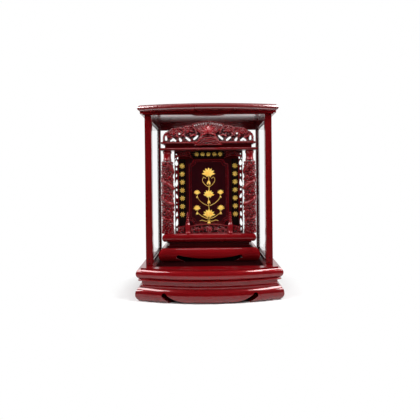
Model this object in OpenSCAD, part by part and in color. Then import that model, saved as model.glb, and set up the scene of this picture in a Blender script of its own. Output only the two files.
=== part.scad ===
// Household ancestor tablet of carved, lacquered hardwood, standing in a glazed case on a bow-front base.
// Millimetres, +Z up, front towards -Y, origin at the bottom centre of the overall box.

/* [Case frame] */
// Width over the outer faces of the front posts
frame_w = 402; // [390:1:430]
// Depth from the faces of the front posts to the backs of the rear posts
frame_d = 232; // [225:1:280]
// Clear height from the deck to the underside of the frieze
bay_h = 478; // [470:1:520]
// Width of a front post
front_post_w = 21; // [18:0.5:25]
// Depth of a front post
front_post_d = 20; // [16:0.5:26]
// Depth of a rear post
back_post_d = 16; // [14:0.5:20]
// Thickness of the side and back frames
rail_t = 12; // [10:0.5:14]
// Height of the upper side and back rails
upper_rail_h = 17; // [14:0.5:24]
// Height of the lower side and back rails
lower_rail_h = 16; // [14:0.5:24]
// Thickness of the glass
pane_t = 4; // [3:0.5:5]
// Depth of the grooves that hold the glass
groove_depth = 5; // [3:0.5:6]
// Length of the tenons on posts and rails
tenon_l = 8; // [5:0.5:8]
// Thickness of the tenons on posts and rails
tenon_t = 5; // [4:0.5:6]

/* [Case base] */
// Overhang of the base beyond the posts at each side
side_overhang = 30; // [24:1:40]
// Overhang of the base corners in front of the posts
front_overhang = 28; // [22:1:40]
// Overhang of the base behind the rear posts
back_overhang = 10; // [6:1:20]
// Swell of the bow front at its middle
base_bow = 38; // [25:1:50]
// Height of the foot tier
plinth_h = 42; // [38:1:48]
// Depth of the foot rails from their nose to the inner face
plinth_rail_d = 34; // [30:1:42]
// Height of the waist tier
waist_h = 28; // [26:1:34]
// Height of the moulded edge of the deck
deck_h = 28; // [26:1:30]
// Rise of the flat field of the deck above its moulded edge
deck_rise = 4; // [2:0.5:6]

/* [Case top] */
// Height of the frieze rails
frieze_h = 9; // [8:0.5:16]
// Overhang of the frieze beyond the posts
frieze_overhang = 12; // [8:0.5:18]
// Thickness of the top board
top_h = 19; // [19:0.5:24]
// Overhang of the top board beyond the posts
top_overhang = 18.5; // [15:0.5:28]
// Swell of the top board at its middle
top_bow = 26; // [16:1:34]

/* [Tablet base] */
// Room between the tablet and each front post
side_clear = 12; // [5:0.5:16]
// Setback of the tablet behind the faces of the front posts
tablet_setback = 49; // [45:1:60]
// Depth of the tablet base
tablet_d = 140; // [130:1:160]
// Height of the foot tier of the tablet
tablet_plinth_h = 46; // [42:1:50]
// Height of the waist of the tablet
tablet_waist_h = 20; // [18:1:26]
// Thickness of the top board of the tablet base
tablet_deck_h = 26; // [24:0.5:30]

/* [Tablet screen] */
// Room between the crown and the underside of the frieze
crown_clear = 5; // [3:0.5:12]
// Height of the crown
crown_h = 71; // [66:0.5:76]
// Thickness of the crown board
crown_t = 10; // [8:0.5:14]
// Thickness of the lower board of the entablature
lintel_h = 9; // [8:0.5:12]
// Height of the recessed neck of the entablature
neck_h = 10; // [8:0.5:14]
// Thickness of the upper board of the entablature
cap_h = 11; // [10:0.5:14]
// Diameter of the column cores
column_d = 26; // [22:0.5:28]
// Distance of a column centre from the tablet's end
column_inset = 28; // [26:0.5:34]
// Distance of a column centre from the pierced strip beside it
fret_clear = 23; // [22.5:0.5:30]
// Thickness of the front board
board_t = 12; // [10:0.5:16]
// Width of a couplet panel
couplet_w = 25; // [18:0.5:26]
// Thickness of the couplet panels
couplet_t = 5; // [3:0.5:7]
// Thickness of the name panel
name_t = 8; // [6:0.5:10]
// Depth of the sunk field of the name panel
name_sink = 3; // [2:0.5:4]
// Height of the header plaque
header_h = 23; // [20:0.5:28]
// Half width of the header plaque
header_half = 53; // [45:1:58]
// Width of the pierced strips beside the board
fret_w = 13; // [10:0.5:13]

/* [Fence] */
// Height of the fence finials
finial_h = 73; // [66:0.5:84]
// Height of the fence panel at its ends
fence_h = 26; // [22:0.5:32]
// Thickness of the fence panel
fence_t = 8; // [6:0.5:9]

/* [Slip box] */
// Half width inside the slip box
box_half = 62; // [50:1:80]
// Depth of the slip box behind the front board
box_d = 44; // [36:1:52]
// Height of the slip box
box_h = 206; // [170:1:215]
// Thickness of the walls of the slip box
box_t = 8; // [6:0.5:10]
// Thickness of the sliding cover
cover_t = 4; // [3:0.5:5]
// Number of name slips in the box
slip_count = 5; // [1:1:6]
// Thickness of a name slip
slip_t = 3; // [2:0.5:3]

/* [Hidden] */

// Finishes
lacquer = "#7a1118";
lacquer_deep = "#5a0a0e";
lacquer_carved = "#8a1a22";
black_ground = "#1a0606";
bare_wood = "#b98a58";
glass = "#dfeef2";

// Smoothness of curves
$fn = 96;
// Overshoot of cutting solids
eps = 1;
// Looseness of a tenon in its mortise and of a pane in its groove, each side
fit = 0.15;
// Running clearance of sliding pieces, each side
run = 0.4;

// Levels of the case
waist_z = plinth_h;
deck_z0 = waist_z + waist_h;
deck_z = deck_z0 + deck_h + deck_rise;
frieze_z = deck_z + bay_h;
top_z = frieze_z + frieze_h;
total_h = top_z + top_h;

// Plan of the case
base_d = base_bow + front_overhang + frame_d + back_overhang;
base_half = frame_w / 2 + side_overhang;
base_front = -base_d / 2;
base_back = base_d / 2;
base_corner = base_front + base_bow;
post_front = base_corner + front_overhang;
post_rear = post_front + front_post_d;
frame_back = post_front + frame_d;
back_post_front = frame_back - back_post_d;
post_out = frame_w / 2;
post_in = post_out - front_post_w;
rail_mid = post_in + rail_t / 2;
back_mid = frame_back - back_post_d / 2;
back_rail_y = back_mid - rail_t / 2;

// Bow of the base, as one circle shared by all three tiers
base_r = (base_half * base_half + base_bow * base_bow) / (2 * base_bow);
base_cy = base_front + base_r;
deck_inset = 2;
deck_r = deck_h * 0.6;
deck_mid = deck_h * 0.54;
field_inset = 14;
waist_inset = 8;
waist_core = 11;

// Plan of the top
top_half = post_out + top_overhang;
top_lead = 5;
top_corner = post_front - top_overhang - top_lead;
top_front = top_corner - top_bow;
top_r = (top_half * top_half + top_bow * top_bow) / (2 * top_bow);
top_cy = top_front + top_r;
top_back = frame_back + back_overhang;
top_nose_r = 8;
top_nose_root = 6;
frieze_half = post_out + frieze_overhang;
frieze_lead = 2;
frieze_front_y = post_front - frieze_overhang - frieze_lead;
frieze_step = 7;
frieze_step_h = 3;

// Feet and aprons of the case base
back_rail_d = 18;
apron_gap = 1.5;
front_rise = 169;
apron_flat = base_half - front_rise;
front_foot = 112;
side_flat = 20;
side_foot = 72;
head_lean = 20;
case_head_r = 8;
case_head_z = plinth_h * 0.57;
glue_leg = 24;
glue_lift = 2;

// Joinery and glazing of the case
shoulder = 4;
rear_shoulder = 3;
post_tenon = frieze_h - 2;
back_tenon = 4;
upper_rail_z = frieze_z - upper_rail_h;
// Foot of each rail's tenon and height of its rail
rail_levels = [
    [deck_z + shoulder / 2, lower_rail_h],
    [upper_rail_z + groove_depth + shoulder / 2, upper_rail_h]
];
pane_z = deck_z + lower_rail_h - groove_depth;
pane_h = bay_h - lower_rail_h - upper_rail_h + 2 * groove_depth - fit;

// Plan and levels of the tablet
tablet_half = post_in - side_clear;
tablet_front = post_front + tablet_setback;
tablet_back = tablet_front + tablet_d;
tablet_waist_z = deck_z + tablet_plinth_h;
tablet_deck_z0 = tablet_waist_z + tablet_waist_h;
tablet_z = tablet_deck_z0 + tablet_deck_h;
tablet_deck_inset = 11;
tablet_waist_inset = 26;
crown_top = frieze_z - crown_clear;
crown_z = crown_top - crown_h;
cap_z = crown_z - cap_h;
neck_z = cap_z - neck_h;
lintel_z = neck_z - lintel_h;
column_h = lintel_z - tablet_z;
column_tenon = lintel_h * 0.6;
column_x = tablet_half - column_inset;
column_setback = 37;
column_y = tablet_front + column_setback;
board_setback = 12;
board_front = column_y + board_setback;
board_back = board_front + board_t;
board_half = column_x - fret_clear - fret_w;
lintel_inset = 5;
lintel_half = tablet_half - lintel_inset;
cap_inset = 9;
cap_half = tablet_half - cap_inset;
neck_inset = 22;
neck_half = tablet_half - neck_inset;
crown_inset = 13;
crown_half = tablet_half - crown_inset;
lintel_setback = 9;
lintel_front = tablet_front + lintel_setback;
lintel_lap = 4;
lintel_back = board_back + lintel_lap;
neck_setback = 14;
neck_front = lintel_front + neck_setback;
cap_setback = 4;
cap_front = lintel_front + cap_setback;
arch_half = 46;
arch_over = 13;
arch_tongue = 3;
arch_t = 7;
arch_step = 1.2;
crown_setback = 5;
crown_y = neck_front + crown_setback;
dome_half = 55;
dome_r = 150;

// Feet and apron of the tablet base
tablet_foot = 88;
tablet_head_lean = 23;
tablet_head_z = 18;
tablet_head_r = 6.5;
tablet_apron_gap = 12;

// Dragon, waves and clouds on a column
dragon_turns = 3.25;
dragon_start = 180;
dragon_thick = 4.6;
dragon_wide = 13;
dragon_z0 = 24;
dragon_z1 = column_h - 50;
wave_r = fret_clear - 1.5;
wave_h = 14;
cloud_count = 6;
cloud_r = 4;
carve_r = fret_clear - 5;
carve_top = column_h - 36;
carve_rings = 60;
carve_sides = 20;

// Layout of the front board
board_top = lintel_z;
header_z = board_top - header_h;
panel_top_gap = 4;
couplet_margin = 1;
couplet_out = board_half - couplet_margin;
couplet_in = couplet_out - couplet_w;
couplet_lift = 12;
couplet_z = tablet_z + couplet_lift;
couplet_top = header_z - panel_top_gap;
name_gap = 2.5;
name_half = couplet_in - name_gap;
name_lift = 20;
name_z = tablet_z + name_lift;
name_top = couplet_top;
name_border = 12;
name_corner = 15;
header_lead = 4;
spandrel_rise = 10;
fret_t = 8;

// Fence along the front of the tablet base
fence_lead = 14;
fence_y = column_y - fence_lead;
finial_r = 9.5;
finial_in = 3.5;
finial_x = name_half - finial_in;
wing_l = 24;
wing_drop = 8;

// Slip box behind the front board
cover_setback = 8;
cover_y = board_back + box_d - cover_setback;
cover_groove = 4;
slip_half = 30;
slip_gap = 0.2;
slip_head = 30;
slip_h = box_h - slip_head;

// Shared shapes

// Board edge rounded to a torus that stands over both flats, drawn inwards from a nose at 0
module torus_blank(h, r, mid, reach) {
    translate([-r, mid]) circle(r = r);
    translate([-reach, -eps]) square([reach - r, h + 2 * eps]);
}

// The same edge, cut off at the flats
module torus_edge(h, r, mid, reach) {
    intersection() {
        torus_blank(h, r, mid, reach);
        translate([-reach, 0]) square([reach, h]);
    }
}

module plinth_edge(reach) { torus_edge(plinth_h, plinth_h * 0.6, plinth_h * 0.53, reach); }

// Bead of narrow flats about the origin
module bead_edge(r) {
    flats = 20;
    polygon([for (k = [0:flats - 1]) r * [cos(360 * k / flats), sin(360 * k / flats)]]);
}

module waist_edge(reach) {
    bead_r = 3.5;
    bead_drop = 4.1;
    bead_root = 5;
    flare = 6;
    translate([-reach, 0]) square([reach - waist_core, waist_h]);
    translate([-bead_r, waist_h - bead_drop]) bead_edge(bead_r);
    translate([-reach, waist_h - 2 * bead_drop]) square([reach - bead_root, 2 * bead_drop]);
    difference() {
        translate([-reach, 0]) square([reach - flare, flare + 5]);
        translate([-waist_core + flare - 0.5, flare + 5]) circle(r = flare);
    }
}

module deck_edge(reach) { torus_edge(deck_h, deck_r, deck_mid, reach); }

module deck_side_edge(reach) { torus_blank(deck_h, deck_r, deck_mid, reach); }

module frieze_edge(reach) {
    translate([-reach, 0]) square([reach - frieze_step, frieze_h]);
    translate([-reach, frieze_step_h]) square([reach, frieze_h - frieze_step_h]);
}

module top_edge(reach) {
    translate([-top_nose_r, top_h / 2]) circle(r = top_nose_r);
    translate([-reach, 0]) square([reach - top_nose_root, top_h]);
}

// The side nose stands a little prouder, so that its root lines miss those of the front
module top_side_edge(reach) {
    translate([-top_nose_r, top_h / 2]) circle(r = top_nose_r);
    translate([-reach, -eps]) square([reach - 1.1 * top_nose_root, top_h + 2 * eps]);
}

// Edge of one tier by name, drawn inwards from its nose
module tier_edge(tier, reach) {
    if (tier == "plinth") plinth_edge(reach);
    if (tier == "waist") waist_edge(reach);
    if (tier == "deck") deck_edge(reach);
    if (tier == "deck_side") deck_side_edge(reach);
    if (tier == "frieze") frieze_edge(reach);
    if (tier == "top") top_edge(reach);
    if (tier == "top_side") top_side_edge(reach);
    if (tier == "tablet_plinth") tablet_plinth_edge(reach);
    if (tier == "tablet_waist") tablet_waist_edge(reach);
    if (tier == "tablet_deck") tablet_deck_edge(reach);
    if (tier == "lintel") lintel_edge(reach);
    if (tier == "cap") cap_edge(reach);
}

// Edge swept round a bow front of radius r about cy, wide enough to reach back_y at half width
module bow_sweep(tier, reach, r, cy, half, back_y) {
    sweep = 2 * atan2(half, cy - back_y) + 6;
    translate([0, cy, 0])
        rotate([0, 0, -90 - sweep / 2])
            rotate_extrude(angle = sweep, $fn = 360)
                translate([r, 0]) tier_edge(tier, reach);
}

// Edge run along both sides from y0 to y1
module side_sweep(tier, reach, half, y0, y1) {
    translate([0, y1, 0])
        rotate([90, 0, 0])
            linear_extrude(y1 - y0) {
                translate([half, 0]) tier_edge(tier, reach);
                mirror([1, 0, 0]) translate([half, 0]) tier_edge(tier, reach);
            }
}

// Edge run along a straight front at y0
module front_sweep(tier, reach, half, y0) {
    translate([-half, y0, 0])
        rotate([90, 0, 90])
            linear_extrude(2 * half) mirror([1, 0, 0]) tier_edge(tier, reach);
}

// Solid board with a bowed front and returned sides
module bow_board(tier, side_tier, half, r, cy, back_y) {
    intersection() {
        bow_sweep(tier, r - (cy - back_y) + eps, r, cy, half, back_y);
        side_sweep(side_tier, half, half, cy - r - eps, back_y);
    }
}

// Solid board with a straight front and returned sides
module straight_board(tier, half, front_y, back_y) {
    intersection() {
        front_sweep(tier, back_y - front_y, half, front_y);
        side_sweep(tier, half, half, front_y, back_y);
    }
}

// Corner of the bowed base in plan, inset d from its nose
function base_corner_at(d) =
    [base_half - d, base_cy - sqrt((base_r - d) * (base_r - d) - (base_half - d) * (base_half - d))];

// Room in front of the two corner mitres of the base
module base_front_wedge(h) {
    outer = base_corner_at(0);
    inner = base_corner_at(plinth_rail_d);
    tip = outer + 3 * (outer - inner);
    root = inner - 3 * (outer - inner);
    far_y = base_front - base_half;
    translate([0, 0, -eps])
        linear_extrude(h + 2 * eps)
            polygon([
                [-tip[0], tip[1]], [-root[0], root[1]], root, tip, [tip[0], far_y], [-tip[0], far_y]
            ]);
}

// Front rail of a bowed tier, mitred at both ends
module base_front_rail(tier, inset, h) {
    intersection() {
        bow_sweep(tier, plinth_rail_d - inset, base_r - inset, base_cy, base_half, base_back);
        base_front_wedge(h);
    }
}

// Right rail of a bowed tier, mitred at the front and square at the back
module base_right_rail(tier, inset, h) {
    difference() {
        translate([0, base_back, 0])
            rotate([90, 0, 0])
                linear_extrude(base_d)
                    translate([base_half - inset, 0]) tier_edge(tier, plinth_rail_d - inset);
        base_front_wedge(h);
    }
}

// Back rail of a bowed tier, square between the side rails
module base_back_rail(h) {
    half = base_half - plinth_rail_d;
    translate([-half, base_back - back_rail_d, 0]) cube([2 * half, back_rail_d, h]);
}

// Room under an apron in one half: flat middle, rising arc, rounded head and sloping foot
module apron_half(flat, foot, head_x, head_z, head_r) {
    dip = 0.5;
    start = flat - 8;
    rise = head_z + head_r - apron_gap + dip;
    span = head_x - start;
    arc_r = (span * span + rise * rise) / (2 * rise);
    translate([head_x, head_z]) circle(r = head_r);
    translate([-eps, -eps]) square([flat + 8, apron_gap + eps]);
    difference() {
        polygon([
            [start, -eps], [foot, -eps], [foot, 0],
            [head_x + head_r * 0.6, head_z - head_r * 0.8],
            [head_x, head_z + head_r * 0.9],
            [start, head_z + head_r]
        ]);
        translate([start, apron_gap - dip + arc_r]) circle(r = arc_r, $fn = 240);
    }
}

module apron_cut(flat, foot, head_x, head_z, head_r, depth) {
    rotate([90, 0, 0])
        linear_extrude(depth, center = true) {
            apron_half(flat, foot, head_x, head_z, head_r);
            mirror([1, 0, 0]) apron_half(flat, foot, head_x, head_z, head_r);
        }
}

// Case base

module plinth_front_rail() {
    color(lacquer) difference() {
        base_front_rail("plinth", 0, plinth_h);
        translate([0, base_front, 0])
            apron_cut(apron_flat, base_half - front_foot, base_half - front_foot + head_lean,
                case_head_z, case_head_r, 4 * plinth_rail_d + 2 * base_bow);
    }
}

module plinth_side_rail() {
    mid_y = (base_corner + base_back) / 2;
    half_l = (base_back - base_corner) / 2;
    difference() {
        base_right_rail("plinth", 0, plinth_h);
        translate([base_half, mid_y, 0])
            rotate([0, 0, 90])
                apron_cut(side_flat, half_l - side_foot, half_l - side_foot + head_lean,
                    case_head_z, case_head_r, 4 * plinth_rail_d);
    }
}

module plinth_left_rail() { color(lacquer) mirror([1, 0, 0]) plinth_side_rail(); }
module plinth_right_rail() { color(lacquer) plinth_side_rail(); }
module plinth_back_rail() { color(lacquer_deep) base_back_rail(plinth_h); }

module plinth_glue_blocks() {
    half = base_half - plinth_rail_d;
    inner = base_corner_at(plinth_rail_d);
    color(bare_wood) for (side = [-1, 1]) {
        near = side * (half - glue_leg);
        far = side * half;
        intersection() {
            translate([0, base_cy, glue_lift])
                cylinder(r = base_r - plinth_rail_d, h = plinth_h - glue_lift, $fn = 360);
            linear_extrude(plinth_h)
                polygon([
                    [far, inner[1] + glue_leg], [far, inner[1] - glue_leg],
                    [near, inner[1] - glue_leg], [near, inner[1]]
                ]);
        }
        translate([0, base_back - back_rail_d, glue_lift])
            linear_extrude(plinth_h - glue_lift)
                polygon([[far, 0], [far, -glue_leg], [near, 0]]);
    }
}

module waist_front_rail() {
    color(lacquer) translate([0, 0, waist_z]) base_front_rail("waist", waist_inset, waist_h);
}

module waist_right_rail() {
    color(lacquer) translate([0, 0, waist_z]) base_right_rail("waist", waist_inset, waist_h);
}

module waist_left_rail() { mirror([1, 0, 0]) waist_right_rail(); }
module waist_back_rail() { color(lacquer_deep) translate([0, 0, waist_z]) base_back_rail(waist_h); }

// Raised field of the deck, set in from its moulded edge
module deck_field() {
    inset = deck_inset + field_inset;
    half = base_half - inset;
    translate([0, 0, deck_z0 + deck_h / 2])
        linear_extrude(deck_h / 2 + deck_rise)
            intersection() {
                translate([0, base_cy]) circle(r = base_r - inset, $fn = 360);
                translate([-half, base_front]) square([2 * half, base_d]);
            }
}

module deck_board() {
    color(lacquer) difference() {
        union() {
            translate([0, 0, deck_z0])
                bow_board("deck", "deck_side", base_half - deck_inset, base_r - deck_inset, base_cy, base_back);
            deck_field();
        }
        at_posts() post_stubs(fit);
    }
}

// Posts and rails of the case

// Places one right-hand part and its mirror image
module at_posts() {
    children();
    mirror([1, 0, 0]) children();
}

// Square stubs at both ends of the front and rear posts, grown by a looseness
module post_stubs(loose) {
    stub = [front_post_w - 2 * shoulder, front_post_d - 2 * shoulder];
    rear = [rail_t - 2 * rear_shoulder, back_post_d - 2 * shoulder];
    for (z = [deck_z - post_tenon, frieze_z]) {
        translate([post_in + shoulder - loose, post_front + shoulder - loose, z - loose])
            cube([stub[0] + 2 * loose, stub[1] + 2 * loose, post_tenon + 2 * loose]);
        translate([post_in + rear_shoulder - loose, back_post_front + shoulder - loose, z - loose])
            cube([rear[0] + 2 * loose, rear[1] + 2 * loose, post_tenon + 2 * loose]);
    }
}

// Tenons of the side rails, from post to post
module side_rail_tenons(loose) {
    for (level = rail_levels)
        translate([rail_mid - tenon_t / 2 - loose, post_rear - tenon_l - loose, level[0] - loose])
            cube([
                tenon_t + 2 * loose, back_post_front - post_rear + tenon_l + back_tenon + 2 * loose,
                level[1] - groove_depth - shoulder + 2 * loose
            ]);
}

// Tenons of the back rails, from rear post to rear post
module back_rail_tenons(loose) {
    reach = post_in + back_tenon;
    for (level = rail_levels)
        translate([-reach - loose, back_mid - tenon_t / 2 - loose, level[0] - loose])
            cube([
                2 * reach + 2 * loose, tenon_t + 2 * loose,
                level[1] - groove_depth - shoulder + 2 * loose
            ]);
}

// Panes, grown by a looseness to give their grooves
module side_pane(loose) {
    y0 = post_rear - groove_depth + fit;
    y1 = back_post_front + groove_depth - fit;
    translate([rail_mid - pane_t / 2 - loose, y0 - loose, pane_z])
        cube([pane_t + 2 * loose, y1 - y0 + 2 * loose, pane_h + loose]);
}

module rear_pane(loose) {
    half = post_in + groove_depth - fit;
    translate([-half - loose, back_mid - pane_t / 2 - loose, pane_z])
        cube([2 * half + 2 * loose, pane_t + 2 * loose, pane_h + loose]);
}

module front_post() {
    difference() {
        union() {
            translate([post_in, post_front, deck_z]) cube([front_post_w, front_post_d, bay_h]);
            intersection() {
                post_stubs(0);
                translate([post_in, post_front, 0]) cube([front_post_w, front_post_d, total_h]);
            }
        }
        side_rail_tenons(fit);
        side_pane(fit);
    }
}

module back_post() {
    difference() {
        union() {
            translate([post_in, back_post_front, deck_z]) cube([rail_t, back_post_d, bay_h]);
            intersection() {
                post_stubs(0);
                translate([post_in, back_post_front, 0]) cube([rail_t, back_post_d, total_h]);
            }
        }
        side_rail_tenons(fit);
        back_rail_tenons(fit);
        side_pane(fit);
        rear_pane(fit);
    }
}

module side_rail(z, h) {
    difference() {
        union() {
            translate([post_in, post_rear, z]) cube([rail_t, back_post_front - post_rear, h]);
            intersection() {
                side_rail_tenons(0);
                translate([post_in, post_front, z]) cube([rail_t, frame_d, h]);
            }
        }
        side_pane(fit);
    }
}

module back_rail(z, h) {
    difference() {
        union() {
            translate([-post_in, back_rail_y, z]) cube([2 * post_in, rail_t, h]);
            intersection() {
                back_rail_tenons(0);
                translate([-post_out, back_rail_y, z]) cube([2 * post_out, rail_t, h]);
            }
        }
        rear_pane(fit);
    }
}

module front_post_left() { color(lacquer_deep) mirror([1, 0, 0]) front_post(); }
module front_post_right() { color(lacquer_deep) front_post(); }
module back_post_left() { color(lacquer_deep) mirror([1, 0, 0]) back_post(); }
module back_post_right() { color(lacquer_deep) back_post(); }
module lower_rail_left() { color(lacquer_deep) mirror([1, 0, 0]) side_rail(deck_z, lower_rail_h); }
module lower_rail_right() { color(lacquer_deep) side_rail(deck_z, lower_rail_h); }
module upper_rail_left() { color(lacquer_deep) mirror([1, 0, 0]) side_rail(upper_rail_z, upper_rail_h); }
module upper_rail_right() { color(lacquer_deep) side_rail(upper_rail_z, upper_rail_h); }
module lower_rail_back() { color(lacquer_deep) back_rail(deck_z, lower_rail_h); }
module upper_rail_back() { color(lacquer_deep) back_rail(upper_rail_z, upper_rail_h); }
module side_pane_left() { color(glass, 0.4) mirror([1, 0, 0]) side_pane(0); }
module side_pane_right() { color(glass, 0.4) side_pane(0); }
module back_pane() { color(glass, 0.4) rear_pane(0); }

// Frieze and top

// Room in front of the frieze's corner mitres, cut at 45 degrees
module frieze_wedge() {
    far = 2 * frieze_half;
    translate([0, 0, frieze_z - eps])
        linear_extrude(frieze_h + 2 * eps)
            polygon([
                [-frieze_half - far, frieze_front_y - far],
                [-frieze_half + far / 4, frieze_front_y + far / 4],
                [frieze_half - far / 4, frieze_front_y + far / 4],
                [frieze_half + far, frieze_front_y - far]
            ]);
}

module frieze_solid() {
    translate([0, 0, frieze_z]) straight_board("frieze", frieze_half, frieze_front_y, top_back);
}

module frieze_front() {
    color(lacquer) difference() {
        intersection() {
            frieze_solid();
            frieze_wedge();
        }
        translate([-2 * frieze_half, post_rear, 0]) cube([4 * frieze_half, frame_d, 2 * total_h]);
        at_posts() post_stubs(fit);
    }
}

module frieze_side() {
    difference() {
        intersection() {
            frieze_solid();
            translate([post_in, frieze_front_y, frieze_z])
                cube([frieze_half, top_back - frieze_front_y, frieze_h]);
        }
        frieze_wedge();
        post_stubs(fit);
    }
}

module frieze_left() { color(lacquer) mirror([1, 0, 0]) frieze_side(); }
module frieze_right() { color(lacquer) frieze_side(); }

module frieze_back() {
    color(lacquer_deep)
        translate([-post_in, back_post_front, frieze_z])
            cube([2 * post_in, top_back - back_post_front, frieze_h]);
}

module top_board() {
    color(lacquer) translate([0, 0, top_z]) bow_board("top", "top_side", top_half, top_r, top_cy, top_back);
}

// Tablet base

module tablet_plinth_edge(reach) {
    torus_edge(tablet_plinth_h, tablet_plinth_h * 0.58, tablet_plinth_h * 0.5, reach);
}

module tablet_waist_edge(reach) {
    bead_r = 3;
    translate([-reach, 0]) square([reach - 2 * bead_r, tablet_waist_h]);
    translate([-reach, 0]) square([reach - bead_r / 2, 2 * bead_r]);
    translate([-bead_r, tablet_waist_h - bead_r]) circle(r = bead_r);
    translate([-reach, tablet_waist_h - 2 * bead_r]) square([reach - bead_r, 2 * bead_r]);
}

module tablet_deck_edge(reach) {
    torus_edge(tablet_deck_h, tablet_deck_h * 0.6, tablet_deck_h * 0.5, reach);
}

module tablet_plinth() {
    foot = tablet_half - tablet_foot;
    head_x = foot + tablet_head_lean;
    side_x = head_x + tablet_head_r * 0.6;
    side_z = tablet_head_z - tablet_head_r * 0.8;
    head_top = tablet_head_z + tablet_head_r;
    rise = head_top - tablet_apron_gap;
    arc_r = (head_x * head_x + rise * rise) / (2 * rise);
    color(lacquer) translate([0, 0, deck_z]) difference() {
        straight_board("tablet_plinth", tablet_half, tablet_front, tablet_back);
        translate([0, (tablet_front + tablet_back) / 2, 0])
            rotate([90, 0, 0])
                linear_extrude(tablet_d + 2 * eps, center = true) {
                    difference() {
                        polygon([
                            [-foot, -eps], [foot, -eps], [foot, 0], [side_x, side_z],
                            [head_x, head_top], [-head_x, head_top], [-side_x, side_z], [-foot, 0]
                        ]);
                        translate([0, tablet_apron_gap + arc_r]) circle(r = arc_r, $fn = 360);
                    }
                    for (side = [-1, 1]) translate([side * head_x, tablet_head_z]) circle(r = tablet_head_r);
                }
    }
}

module tablet_waist() {
    inset = tablet_waist_inset;
    color(lacquer_deep) translate([0, 0, tablet_waist_z])
        straight_board("tablet_waist", tablet_half - inset, tablet_front + inset, tablet_back);
}

module tablet_deck() {
    inset = tablet_deck_inset;
    color(lacquer) difference() {
        translate([0, 0, tablet_deck_z0])
            straight_board("tablet_deck", tablet_half - inset, tablet_front + inset, tablet_back);
        at_posts() column_tenons(fit);
    }
}

// Dragon columns

// Round tenons at both ends of a column
module column_tenons(loose) {
    for (z = [tablet_z - column_tenon, lintel_z])
        translate([column_x, column_y, z - loose])
            cylinder(d = column_d / 2 + 2 * loose, h = column_tenon + 2 * loose);
}

// Swell of the dragon's body at share t of its length, from tail to snout
function dragon_body(t) = lookup(t, [
    [0, 0.3], [0.1, 0.65], [0.35, 1], [0.75, 1], [0.85, 0.85], [0.9, 1.3], [0.96, 1.25], [1, 0.7]
]);

// Height of a rounded band of the given half width and thickness, d off its middle line
function band(d, half, thick) = thick * sqrt(max(0, 1 - d * d / (half * half)));

// Radius of the carving at an angle and a height: the coiled dragon with a band of clouds between its turns
function carved_r(turn, z) =
    let (
        pitch = (dragon_z1 - dragon_z0) / dragon_turns,
        lead = (turn - dragon_start) / 360,
        coil = round((z - dragon_z0) / pitch - lead),
        mid = dragon_z0 + pitch * (lead + coil),
        t = (mid - dragon_z0) / (dragon_z1 - dragon_z0),
        body = t < 0 || t > 1 ? 0 : dragon_body(t),
        dragon = body == 0 ? 0 : band(z - mid, dragon_wide * body, dragon_thick * body),
        off = abs(z - mid) - pitch / 2,
        puff = cloud_r * (0.6 + 0.4 * cos(cloud_count * turn)),
        cloud = band(off, 2 * cloud_r, puff)
    )
    carve_r + max(dragon, cloud);

// Skin of the carved part of a column, lofted through rings of points
module carved_skin() {
    n = carve_sides;
    points = [
        for (k = [0:carve_rings], i = [0:n - 1])
            let (
                z = wave_h + (carve_top - wave_h) * k / carve_rings,
                turn = 360 * i / n,
                r = k == 0 || k == carve_rings ? carve_r : carved_r(turn, z)
            )
            [r * cos(turn), r * sin(turn), z]
    ];
    skin = [
        for (k = [0:carve_rings - 1], i = [0:n - 1])
            each [
                [k * n + i, (k + 1) * n + i, k * n + (i + 1) % n],
                [(k + 1) * n + i, (k + 1) * n + (i + 1) % n, k * n + (i + 1) % n]
            ]
    ];
    foot = [[for (i = [0:n - 1]) i]];
    head = [[for (i = [n - 1:-1:0]) carve_rings * n + i]];
    polyhedron(points, concat(skin, foot, head));
}

module dragon_column() {
    bead = wave_h * 0.2;
    translate([column_x, column_y, tablet_z]) {
        cylinder(d = column_d, h = column_h);
        rotate_extrude() {
            square([wave_r - bead, 2 * bead]);
            translate([wave_r - bead, bead]) circle(r = bead);
            square([wave_r - 2 * bead, 4 * bead]);
            translate([wave_r - 2 * bead, 3 * bead]) circle(r = bead);
        }
        carved_skin();
    }
    column_tenons(0);
}

module dragon_column_right() { color(lacquer_carved) dragon_column(); }
module dragon_column_left() { color(lacquer_carved) mirror([1, 0, 0]) dragon_column(); }

// Front board and what is planted on it

module front_board() {
    color(lacquer_deep)
        translate([-board_half, board_front, tablet_z])
            cube([2 * board_half, board_t, board_top - tablet_z]);
}

// Rectangle with rounded corners, by its corners
module round_rect(x0, z0, x1, z1, r) {
    translate([x0 + r, z0]) square([x1 - x0 - 2 * r, z1 - z0]);
    translate([x0, z0 + r]) square([x1 - x0, z1 - z0 - 2 * r]);
    for (x = [x0 + r, x1 - r], z = [z0 + r, z1 - r]) translate([x, z]) circle(r = r);
}

// Stands a drawing in the XZ plane up as a slab from y0 to y1
module slab(y0, y1) {
    translate([0, y1, 0]) rotate([90, 0, 0]) linear_extrude(y1 - y0) children();
}

module couplet_panel() {
    edge = 2;
    difference() {
        slab(board_front - couplet_t, board_front)
            round_rect(couplet_in, couplet_z, couplet_out, couplet_top, 3);
        slab(board_front - couplet_t - eps, board_front - couplet_t + edge / 2)
            round_rect(couplet_in + edge, couplet_z + edge, couplet_out - edge, couplet_top - edge, 2);
    }
}

module couplet_panel_right() { color(black_ground) couplet_panel(); }
module couplet_panel_left() { color(black_ground) mirror([1, 0, 0]) couplet_panel(); }

// Field of the name panel, with its four corners scooped out round a bracket
module name_field() {
    half = name_half - name_border;
    z0 = name_z + name_border;
    z1 = name_top - name_border / 2;
    difference() {
        translate([-half, z0]) square([2 * half, z1 - z0]);
        for (x = [-half, half], z = [z0, z1]) translate([x, z]) circle(r = name_corner);
    }
}

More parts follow.
